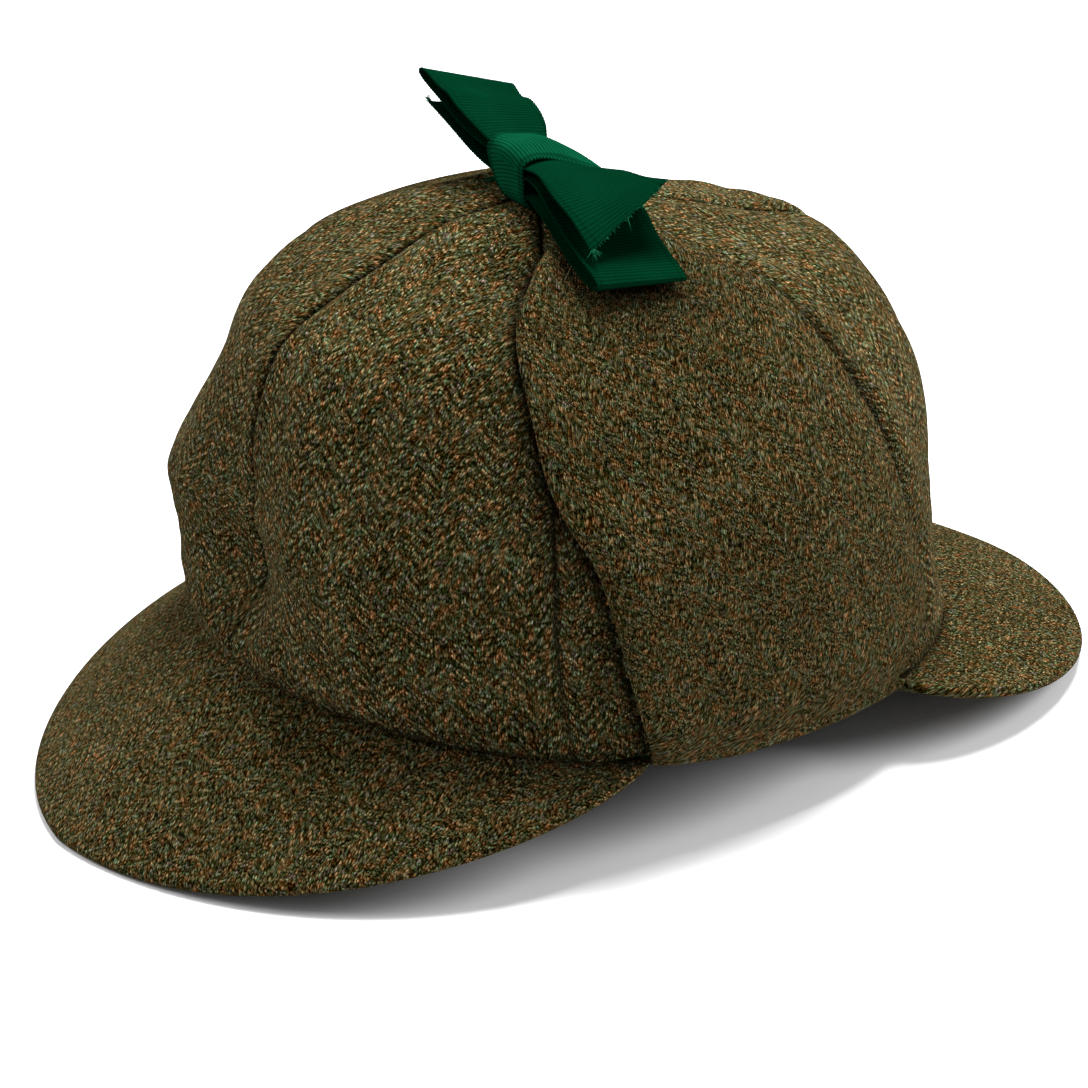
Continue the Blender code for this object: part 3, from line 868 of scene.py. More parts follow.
@dataclass(frozen=True)
class CrownForm:
    """The surface that every piece of the hat follows.

    A place on it has an azimuth (0 at the front, positive towards the wearer's left) and a
    level (-1 at the rim, 0 at the widest ring, 1 at the top).
    """

    rim_half_length: float = 105.0 * MM
    rim_half_width: float = 87.5 * MM
    rim_middle_y: float = 2.8 * MM
    rim_front_z: float = 40.0 * MM
    rim_side_z: float = 21.4 * MM
    rim_rear_z: float = 17.1 * MM
    rim_rise_power: float = 1.6
    widest_front: float = 103.9 * MM
    widest_rear: float = 103.3 * MM
    widest_half_width: float = 89.5 * MM
    widest_middle_y: float = -2.7 * MM
    top_y: float = -5.3 * MM
    # Columns: the share of the plan radius, and the height in mm at front, side and rear.
    dome: tuple[tuple[float, float, float, float], ...] = (
        (0.00, 147.6, 147.6, 147.6),
        (0.25, 146.3, 142.4, 141.5),
        (0.45, 139.6, 135.4, 136.0),
        (0.62, 132.4, 130.2, 129.9),
        (0.76, 124.2, 118.9, 126.3),
        (0.88, 103.1, 101.8, 112.8),
        (0.96, 83.8, 89.3, 96.5),
        (1.00, 74.2, 72.0, 69.8),
    )
    seams: tuple[float, ...] = (-180.0, -118.0, -63.0, 0.0, 63.0, 118.0, 180.0)
    swell: float = 0.6 * MM
    seam_dip: float = 1.2 * MM
    seam_dip_power: float = 2.2
    # The stitched crease at a seam, and the low ridges over the turned-in cloth beside it.
    crease_depth: float = 1.5 * MM
    crease_width: float = 0.6 * MM
    ridge_height: float = 0.35 * MM
    ridge_distance: float = 4.2 * MM
    ridge_spread: float = 1.8 * MM
    # How strong the painted shade along the rim's seam is. Columns: azimuth in degrees, share.
    rim_shade_strength: tuple[tuple[float, float], ...] = ((-75.0, 1.0), (-55.0, 0.2), (2.0, 0.2), (14.0, 1.0))
    # The middle of the front is pushed in.
    buckle_depth: float = 15.5 * MM
    buckle_z: float = 64.0 * MM
    buckle_degrees: float = 16.0
    buckle_spread_up: float = 29.0 * MM
    buckle_spread_down: float = 15.5 * MM
    # The dents beside it, or bulges where the depth is negative. Columns: depth in mm,
    # azimuth and its spread in degrees, height and its spread in mm.
    dents: tuple[tuple[float, float, float, float, float], ...] = (
        (-1.2, -31.0, 14.0, 77.0, 13.0),
        (1.5, -31.0, 16.0, 102.0, 8.0),
    )
    # The lip of the crown over the seam where a peak is sewn on.
    lip: float = 0.9 * MM
    lip_height: float = 5.0 * MM
    lip_spread: float = 3.5 * MM
    # Where the crown is fuller: height in metres, azimuth and its spread in degrees, level
    # and its spread.
    fill: tuple[float, float, float, float, float] = (3.2 * MM, -52.0, 17.0, 0.62, 0.26)
    # Faint rolls in the cloth. Columns: height in mm, turns round the crown, turns up it, start.
    rolls: tuple[tuple[float, float, float, float], ...] = (
        (0.30, 17.0, 1.3, 0.4),
        (0.24, -11.0, 2.6, 2.1),
        (0.20, 29.0, 3.4, 4.0),
        (0.14, -37.0, 5.2, 1.0),
    )

    def around(self, azimuth: Array, front: Array, side: Array, rear: Array) -> Array:
        """A value that turns from the front's to the side's to the rear's round the crown."""
        ahead = np.cos(azimuth)
        return np.where(ahead > 0, front, rear) * ahead**2 + side * (1 - ahead**2)

    def degrees(self, azimuth: Array) -> Array:
        """The azimuth in degrees, from -180 to 180."""
        return np.degrees((azimuth + math.pi) % (2 * math.pi) - math.pi)

    def rim(self, azimuth: Array) -> Array:
        """The rim's line."""
        ahead = np.cos(azimuth)
        end_z = np.where(ahead > 0, self.rim_front_z, self.rim_rear_z)
        return np.stack(
            [
                self.rim_half_width * np.sin(azimuth),
                self.rim_middle_y - self.rim_half_length * ahead,
                self.rim_side_z + (end_z - self.rim_side_z) * np.abs(ahead) ** self.rim_rise_power,
            ],
            axis=-1,
        )

    def widest_z(self, azimuth: Array) -> Array:
        """The height of the widest ring."""
        return self.around(azimuth, *(height * MM for height in self.dome[-1][1:]))

    def off_axis(self, points: Array) -> Array:
        """How far points are from the upright line through the widest ring's middle."""
        return np.hypot(points[..., 0], points[..., 1] - self.widest_middle_y)

    def rim_outward(self, azimuth: Array) -> Array:
        """The level direction that points straight out of the rim's ellipse."""
        x = np.sin(azimuth) / self.rim_half_width
        y = -np.cos(azimuth) / self.rim_half_length
        return unit(np.stack([x, y, 0 * azimuth], axis=-1))

    def plain(self, azimuth: Array, level: Array) -> Array:
        """The crown without its seams, dents and rolls."""
        table = np.array(self.dome)
        front, side, rear = (table[:, at] * MM for at in (1, 2, 3))
        rim = self.rim(azimuth)
        half_length = np.where(np.cos(azimuth) > 0, self.widest_front, self.widest_rear)
        across = self.widest_half_width * np.sin(azimuth)
        along = -half_length * np.cos(azimuth)
        low = np.clip(level + 1, 0, 1)
        lean = np.sin(low * math.pi / 2)
        lower = [
            rim[..., 0] + (across - rim[..., 0]) * lean,
            rim[..., 1] + (self.widest_middle_y + along - rim[..., 1]) * lean,
            rim[..., 2] + (self.widest_z(azimuth) - rim[..., 2]) * low,
        ]
        angle = (1 - np.clip(level, 0, 1)) * math.pi / 2
        share = np.sin(angle)
        knots = np.arcsin(table[:, 0])
        upper = [
            across * share,
            (self.widest_middle_y + along) * share + self.top_y * (1 - share),
            self.around(azimuth, *(smooth_through(knots, line, angle) for line in (front, side, rear))),
        ]
        return np.where((level < 0)[..., None], np.stack(lower, axis=-1), np.stack(upper, axis=-1))

    def normal(self, azimuth: Array, level: Array, step: float = 1e-3) -> Array:
        """The plain crown's unit normal."""
        along = self.plain(azimuth + step, level) - self.plain(azimuth - step, level)
        higher = self.plain(azimuth, np.minimum(level + step, 1))
        return unit(np.cross(along, higher - self.plain(azimuth, np.maximum(level - step, -1))))

    def seam_distance(self, azimuth: Array, level: Array) -> Array:
        """How far along the cloth the nearest seam is, in metres."""
        away = np.abs(self.degrees(azimuth)[..., None] - np.array(self.seams)).min(axis=-1)
        return np.radians(away) * self.off_axis(self.plain(azimuth, level))

    def over_rim(self, azimuth: Array, level: Array) -> Array:
        """How far above the rim a place below the widest ring is, in metres."""
        return (level + 1) * (self.widest_z(azimuth) - self.rim(azimuth)[..., 2])

    def rim_painted_shade(self, azimuth: Array, away: Array, reach: float) -> Array:
        """How deep the painted shade along the rim's seam is at a place, from 0 to 1.

        Args:
            azimuth: The azimuths, in radians.
            away: How far from the seam it is along the cloth, in metres.
            reach: How far the soft part of the shade reaches, in metres.

        Returns:
            The depths.
        """
        azimuths, shares = np.array(self.rim_shade_strength).T
        shade_strength = np.interp(self.degrees(azimuth), azimuths, shares)
        return (0.75 * np.exp(-away / (1.0 * MM)) + 0.22 * np.exp(-away / reach)) * shade_strength

    def pushed_in(self, degrees: Array, height: Array) -> Array:
        """How far the buckle and the dents push places at some height in, in metres."""
        above = height - self.buckle_z
        spread = np.where(above > 0, self.buckle_spread_up, self.buckle_spread_down)
        inwards = self.buckle_depth * bell(degrees, self.buckle_degrees) * bell(above, spread)
        for depth, at, wide, high, tall in self.dents:
            near = bell(height - high * MM, tall * MM)
            inwards = inwards + depth * MM * bell(degrees - at, wide) * near
        return inwards

    def surface(self, azimuth: Array, level: Array, creased: bool = True) -> Array:
        """The crown's outer face, with its padded gores, creased seams, buckle and rolls.

        Args:
            azimuth: The azimuths, in radians.
            level: The levels.
            creased: Whether the stitched creases at the seams are wanted.

        Returns:
            The points.
        """
        azimuth, level = np.broadcast_arrays(np.asarray(azimuth, float), np.asarray(level, float))
        points = self.plain(azimuth, level)
        degrees = self.degrees(azimuth)
        seams = np.array(self.seams)
        gore = np.clip(np.searchsorted(seams, degrees, side="right") - 1, 0, len(seams) - 2)
        middle = (seams[gore] + seams[gore + 1]) / 2
        half = (seams[gore + 1] - seams[gore]) / 2
        to_seam = np.abs(degrees - middle) / half
        width_share = np.cos(np.clip(level, 0, 1) * math.pi / 2) ** 0.7
        off_rim = np.clip((level + 1) / 0.3, 0, 1)
        raised = (self.swell - (self.swell + self.seam_dip) * to_seam**self.seam_dip_power) * width_share
        away = self.seam_distance(azimuth, level)
        crease_and_painted_shade = self.crease_depth * np.exp(-away / self.crease_width) * creased
        ridge = self.ridge_height * bell(away - self.ridge_distance, self.ridge_spread)
        near_top = np.clip(width_share * 2.5, 0, 1)
        raised = raised * off_rim + (ridge - crease_and_painted_shade) * np.clip((level + 1) / 0.06, 0, 1) * near_top
        for height, turns, up, start in self.rolls:
            wave = np.sin(np.radians(degrees) * turns + level * up * math.pi + start)
            raised = raised + height * MM * wave * off_rim * width_share
        height, at, wide, high, tall = self.fill
        raised = raised + height * bell(degrees - at, wide) * bell(level - high, tall)
        at_peak = np.clip((np.abs(np.cos(azimuth)) - 0.2) / 0.2, 0, 1)
        over_lip = self.over_rim(azimuth, level) - self.lip_height
        raised = raised + self.lip * at_peak * bell(over_lip, self.lip_spread)
        inwards = self.pushed_in(degrees, points[..., 2])
        out = np.stack([np.sin(azimuth), -np.cos(azimuth), 0 * azimuth], axis=-1)
        return points + self.normal(azimuth, level) * raised[..., None] - out * inwards[..., None]


# ---- The crown, the peaks and the flaps ---------------------------------------------


@dataclass
class Crown:
    """Six gores sewn together."""

    form: CrownForm
    flaps: "EarFlaps"
    finish: bpy.types.Material
    wall: float = 2.0 * MM
    tip_level: float = 0.996
    columns: int = 73
    low_rows: int = 26
    high_rows: int = 62
    # The rim is lifted where a flap is folded round it, between ramps in degrees.
    lift: float = 3.0 * MM
    lift_ramps: tuple[float, float, float, float] = (66.0, 72.0, 123.0, 129.0)
    # The cloth beside a flap: how far it sinks in front of the left one, rises to the
    # right one, and swells up behind both, each with how far along the cloth it reaches.
    sunk: tuple[float, float] = (1.9 * MM, 8 * MM)
    risen: tuple[float, float] = (2.5 * MM, 15 * MM)
    swollen: tuple[float, float] = (1.5 * MM, 6 * MM)
    swell_distance: float = 9 * MM
    # Where it sinks again near the top: its share, the level and its spread. Then the
    # level and spread where it rises.
    sunk_high: tuple[float, float, float] = (0.8, 0.73, 0.07)
    risen_high: tuple[float, float] = (0.80, 0.20)
    # How wide a seam's shade is.
    seam_width: float = 0.95 * MM
    # How wide the painted shade in the slits in front of a flap and behind it is, and how much wider it is
    # at a level with its spread; widths in mm.
    front_slit_shade: tuple[float, float, float, float] = (2.2, 2.6, 0.74, 0.07)
    rear_slit_shade: tuple[float, float, float, float] = (4.0, 2.6, 0.30, 0.13)
    names: tuple[str, ...] = (
        "rear_right",
        "side_right",
        "front_right",
        "front_left",
        "side_left",
        "rear_left",
    )
    gores: list[tuple[Cloth, Array]] = field(default_factory=list)

    def build(self) -> None:
        """Make the six gores."""
        for name, first, last in zip(self.names, self.form.seams, self.form.seams[1:]):
            cloth, shown = self._gore(first, last)
            self.gores.append((cloth, shown))
            publish_cloth(
                f"crown_{name}", cloth, self.finish, f"gore_{name}"
            )

    def _gore(self, first: float, last: float) -> tuple[Cloth, Array]:
        """One gore between two seams.

        Args:
            first: The azimuth of its first seam, in degrees.
            last: The azimuth of its last seam.

        Returns:
            The gore's cloth, and where it isn't covered by a flap.
        """
        low = np.linspace(-1, 0, self.low_rows)[:-1]
        levels = np.concatenate([low, np.linspace(0, self.tip_level, self.high_rows)])
        degrees = first + (last - first) * clustered(self.columns, 1.6)[None, :]
        degrees = np.repeat(degrees, len(levels), axis=0)
        level = np.repeat(levels[:, None], self.columns, axis=1)
        ramp = np.interp(np.abs(degrees), self.lift_ramps, (0, 1, 1, 0))
        height = self.form.dome[-1][2] * MM - self.form.rim_side_z
        level = level + self.lift * ramp / height * np.clip(-level, 0, 1)
        azimuth = np.radians(degrees)
        ahead, behind = self.flaps.past_edges(degrees, level)
        shown = (ahead > 0) | (behind > 0) | (level > self.flaps.table[-1][0])
        raised = self._raised(azimuth, level, ahead, behind)
        shift = self.form.normal(azimuth, level) * raised[..., None]
        smooth = Cloth(self.form.surface(azimuth, level, creased=False) + shift, self.wall)
        outer = self.form.surface(azimuth, level) + shift
        # Painted shade in the seams, along the rim and in the slits beside the flaps.
        crease_and_painted_shade = self._painted_shade(azimuth, level, ahead, behind)
        return Cloth(outer, self.wall, crease_and_painted_shade=crease_and_painted_shade, back=smooth.inner()), shown

    def _raised(self, azimuth: Array, level: Array, ahead: Array, behind: Array) -> Array:
        """How far the cloth is raised or sunk beside the flaps.

        Args:
            azimuth: The azimuths, in radians.
            level: The levels.
            ahead: How far in front of a flap each place is, in metres, or 0.
            behind: How far behind a flap each place is, or 0.

        Returns:
            The heights, in metres.
        """
        depth, reach = self.sunk
        share, at, tall = self.sunk_high
        low = np.clip((0.35 - level) / 0.5, 0, 1)
        high = share * bell(level - at, tall) * (azimuth > 0)
        sunk = depth * bell(ahead, reach) * (ahead > 0) * (low + high)
        height, reach = self.risen
        at, tall = self.risen_high
        risen = height * bell(ahead, reach) * bell(level - at, tall) * (azimuth < 0)
        risen = risen * np.clip(ahead / (1.5 * MM), 0, 1)
        height, reach = self.swollen
        swollen = height * bell(behind - self.swell_distance, reach) * (behind > 0)
        swollen = swollen * np.clip((0.85 - level) / 0.3, 0, 1)
        return (swollen - sunk + risen) * np.clip((level + 1) / 0.25, 0, 1)

    def _painted_shade(self, azimuth: Array, level: Array, ahead: Array, behind: Array) -> Array:
        """How deep the painted shade is at each place, from 0 to 1: in the seams, along the rim and in the
        slits beside the flaps.

        Args:
            azimuth: The azimuths, in radians.
            level: The levels.
            ahead: How far in front of a flap each place is, in metres, or 0.
            behind: How far behind a flap each place is, or 0.

        Returns:
            The depths.
        """
        away = self.form.seam_distance(azimuth, level)
        seam = np.interp(level, (-0.95, -0.2, 0.45), (0.0, 0.7, 0.95)) * bell(away, self.seam_width)
        rim = self.form.rim_painted_shade(azimuth, self.form.over_rim(azimuth, level), 6 * MM)
        # The slit in front of the right flap is all but closed, so its painted shade is weaker.
        shade_strength = np.where(azimuth > 0, 1.0, 0.25)
        slit_shades = []
        for width, wider, at, tall in (self.front_slit_shade, self.rear_slit_shade):
            slit_shades.append((width + wider * bell(level - at, tall)) * MM)
        front = 0.90 * bell(ahead, slit_shades[0]) + 0.30 * np.exp(-ahead / (9 * MM))
        front = front * (ahead > 0) * shade_strength
        rear = 0.92 * np.exp(-((behind / slit_shades[1]) ** 4)) * (behind > 0)
        top = np.clip((1 - level) / 0.1, 0, 1)
        return np.maximum(np.maximum(seam, rim), np.maximum(front, rear) * top)


@dataclass
class Peaks:
    """The two stiffened peaks, crescents sewn to the rim whose edges reach the ground."""

    form: CrownForm
    finish: bpy.types.Material
    wall: float = 3.0 * MM
    crowning: float = 2.0 * MM
    flat_degrees: float = 8.0
    end_share: float = 0.985
    root_in: float = 1.6 * MM
    root_rise: float = 0.9 * MM
    columns: int = 121
    rows: int = 27
    # How much closer the rows lie at the edge, and how far the shade of the seam reaches.
    row_power: float = 1.3
    seam_reach: float = 7 * MM
    # Columns: end of the hat, middle azimuth, reach in mm, half span in degrees, then the
    # powers of the outline's fall from the middle, of its width, and of the edge's rise.
    table: tuple[tuple[str, float, float, float, float, float, float], ...] = (
        ("front", 0.0, 50.75, 74.0, 1.23, 0.72, 1.9),
        ("rear", 180.0, 45.15, 60.3, 1.71, 0.52, 1.8),
    )
    sheets: list[Cloth] = field(default_factory=list)

    def build(self) -> None:
        """Make both peaks."""
        for end, *shape in self.table:
            cloth = self._peak(*shape)
            self.sheets.append(cloth)
            publish_cloth(
                f"peak_{end}", cloth, self.finish, f"{end}_peak"
            )

    def _peak(
        self,
        middle: float,
        reach: float,
        span: float,
        reach_power: float,
        width_power: float,
        rise_power: float,
    ) -> Cloth:
        """One peak.

        Args:
            middle: The azimuth of its middle, in degrees.
            reach: How far it stands out from the rim there, in mm.
            span: Half of the degrees that it spans.
            reach_power: The power of the outline's fall from the middle.
            width_power: The power of its width.
            rise_power: The power of its edge's rise to the ends.

        Returns:
            The peak's cloth.
        """
        shares = self.end_share * np.sin(np.linspace(-1, 1, self.columns) * math.pi / 2)
        azimuth = np.radians(middle + span * shares)
        rim, out = self.form.rim(azimuth), self.form.rim_outward(azimuth)
        away = np.abs(shares)
        width = reach * MM * (1 - away**reach_power) ** width_power
        flat = self.flat_degrees / span
        low = rim[:, 2] * np.clip((away - flat) / (1 - flat), 0, 1) ** rise_power
        half = self.wall / 2
        root_z = rim[:, 2] + self.root_rise
        fall = np.arctan2(root_z - low - self.wall, np.maximum(width - half, half))
        end = np.maximum(width - half * (1 - np.sin(fall)), 0.2 * MM)
        end_z = low + half * (1 + np.cos(fall))
        rows = []
        for part in 1 - (1 - np.linspace(0, 1, self.rows)) ** self.row_power:
            reached = -self.root_in + (end + self.root_in) * part
            arch = self.crowning * width / (reach * MM) * 4 * part * (1 - part)
            z = root_z + (end_z - root_z) * part + arch
            rows.append(rim * (1, 1, 0) + out * reached[:, None] + np.stack([0 * z, 0 * z, z], axis=-1))
        # The rows run from the edge up to the root, so that the upper face looks outwards.
        grid = np.array(rows)[::-1]
        from_root = arc_lengths(grid[::-1])[::-1]
        weave = (rim[None, :, :2] + out[None, :, :2] * from_root[..., None]) * (1, -1)
        from_seam = np.maximum(from_root - self.root_in, 0)
        # Painted shade along the seam where the peak is sewn to the rim.
        crease_and_painted_shade = self.form.rim_painted_shade(azimuth[None, :], from_seam, self.seam_reach)
        return Cloth(grid, self.wall, rings=5, weave=weave, crease_and_painted_shade=crease_and_painted_shade)


@dataclass
class EarFlaps:
    """The two ear flaps, folded up round the rim and lying on the crown."""

    form: CrownForm
    finish: bpy.types.Material
    wall: float = 2.4 * MM
    # How far the outer face stands off the plain crown, and the degrees that the cloth is
    # cut across its weave.
    standoff: float = 3.6 * MM
    bias: float = 18.0
    columns: int = 73
    parts: int = 5
    # Columns: name, side, and how far the front edge stands off, in mm.
    sides: tuple[tuple[str, int, float], ...] = (("left", 1, 2.6), ("right", -1, 0.3))
    # The lifted front edge's place and spread across the flap, then the rear edge's depth
    # and spread where it is pressed down.
    lifted: tuple[float, float] = (0.05, 0.09)
    pressed: tuple[float, float] = (1.2 * MM, 0.06)
    # The painted shadow of the bow's loop on the cloth below the tip: how dark, the level and its spread,
    # and the spread across.
    painted_bow_shadow: tuple[float, float, float, float] = (0.60, 0.61, 0.11, 0.30)
    # Columns: level, the front and the rear edge in degrees, the share of the edge's lift.
    table: tuple[tuple[float, float, float, float], ...] = (
        (-0.93, 74.6, 119.5, 0.5),
        (-0.84, 74.4, 126.0, 0.9),
        (-0.74, 74.0, 131.0, 1.0),
        (-0.56, 73.2, 132.0, 1.0),
        (-0.36, 72.4, 131.0, 1.0),
        (-0.14, 71.4, 128.6, 1.0),
        (0.03, 70.0, 124.8, 0.9),
        (0.12, 68.4, 123.0, 0.7),
        (0.20, 65.8, 122.3, 0.5),
        (0.30, 62.6, 122.0, 0.4),
        (0.41, 59.9, 120.8, 0.5),
        (0.51, 57.1, 121.0, 0.6),
        (0.60, 56.2, 122.0, 0.8),
        (0.68, 58.0, 122.6, 1.0),
        (0.74, 60.0, 121.4, 0.8),
        (0.79, 66.0, 115.0, 0.4),
        (0.82, 77.0, 104.0, 0.0),
    )
    # The fold under the rim. Columns: out from the rim's edge, and up, in mm.
    hem: tuple[tuple[float, float], ...] = ((-1.4, 0.0), (1.2, 0.0), (2.9, 0.9), (3.6, 2.8))
    sheets: list[Cloth] = field(default_factory=list)

    def build(self) -> None:
        """Make both flaps."""
        turn = math.radians(self.bias)
        levels = [-1.0] * len(self.hem) + [row[0] for row in self.table]
        rows = np.arange((len(levels) - 1) * self.parts + 1) / self.parts
        level = np.interp(rows, range(len(levels)), levels)
        # The bow's shadow on the flap below its tip, painted into the colour.
        depth, high, tall, wide = self.painted_bow_shadow
        across = bell(np.linspace(-0.48, 0.52, self.columns), wide)
        painted_bow_shadow = depth * bell(level - high, tall)[:, None] * across[None, :]
        for name, side, lift in self.sides:
            crease_and_painted_shade = painted_bow_shadow if side > 0 else painted_bow_shadow[:, ::-1]
            cloth = Cloth(self._grid(side, lift * MM), self.wall, rings=5, crease_and_painted_shade=crease_and_painted_shade)
            across, along = cloth.weave[..., 0], cloth.weave[..., 1]
            cloth.weave = np.stack(
                [
                    across * math.cos(turn) + along * math.sin(turn),
                    along * math.cos(turn) - across * math.sin(turn),
                ],
                axis=-1,
            )
            self.sheets.append(cloth)
            publish_cloth(
                f"flap_{name}", cloth, self.finish, f"ear_flap_{name}"
            )

    def _grid(self, side: int, edge_lift: float) -> Array:
        """The points on a flap's outer face.

        Args:
            side: 1 for the wearer's left flap and -1 for the right one.
            edge_lift: How far its front edge stands off, in metres.

        Returns:
            The points, from the fold under the rim up to the tip.
        """
        share = clustered(self.columns, 1.7)
        ends = self.table[0][1:3]
        hem = np.radians(ends[0] + (ends[1] - ends[0]) * share)
        rows = []
        for out, up in self.hem:
            rows.append(self.form.rim(hem) + self.form.rim_outward(hem) * out * MM + (0, 0, up * MM))
        place, reach = self.lifted
        lifted = edge_lift * bell(share - place, reach) * np.clip(0.6 + share / place, 0, 1)
        depth, reach = self.pressed
        pressed = depth * bell(share - 1, reach)
        for level, front, rear, lift in self.table:
            azimuth = np.radians(front + (rear - front) * share)
            at = np.full_like(azimuth, level)
            raised = lifted * lift
            normal = self.form.normal(azimuth, at)
            rows.append(self.form.plain(azimuth, at) + normal * (self.standoff + raised - pressed)[:, None])
        return on_side(spline_rows(np.array(rows), self.parts), side)

    def past_edges(self, degrees: Array, level: Array) -> tuple[Array, Array]:
        """How far in front of a flap, and how far behind it, a place on the crown lies.

        Args:
            degrees: The azimuths, in degrees.
            level: The levels.

        Returns:
            Both distances in metres, each 0 where it doesn't hold.
        """
        table = np.array(self.table)
        front = np.interp(level, table[:, 0], table[:, 1])
        rear = np.interp(level, table[:, 0], table[:, 2])
        away = np.abs(degrees)
        radius = self.form.off_axis(self.form.plain(np.radians(degrees), level))
        ahead = np.radians(np.maximum(front - away, 0)) * radius
        behind = np.radians(np.maximum(away - rear, 0)) * radius
        return ahead, behind


@dataclass
class InnerBand:
    """The ribbon band that lines the rim."""

    form: CrownForm
    finish: bpy.types.Material
    height: float = 25.0 * MM
    drop: float = 0.8 * MM
    wall: float = 1.0 * MM
    inset: float = 2.7 * MM
    columns: int = 180
    rows: int = 15

    def build(self) -> None:
        """Make the band."""
        azimuth = np.linspace(-math.pi, math.pi, self.columns + 1)[:-1]
        rise = self.form.widest_z(azimuth) - self.form.rim(azimuth)[:, 2]
        rows = []
        for share in np.linspace(0, 1, self.rows):
            level = -1 + share * self.height / rise
            rows.append(self.form.surface(azimuth, level, creased=False))
        face = Cloth(np.array(rows), self.wall, closed=True)
        grid = face.outer - face.normals * self.inset
        grid[..., 2] -= self.drop * np.linspace(1, 0, self.rows)[:, None]
        cloth = Cloth(grid, self.wall, closed=True)
        cloth.lay_along_rows()
        publish_cloth("lining_band", cloth, self.finish, "inner_band")


# ---- The bow ------------------------------------------------------------------------


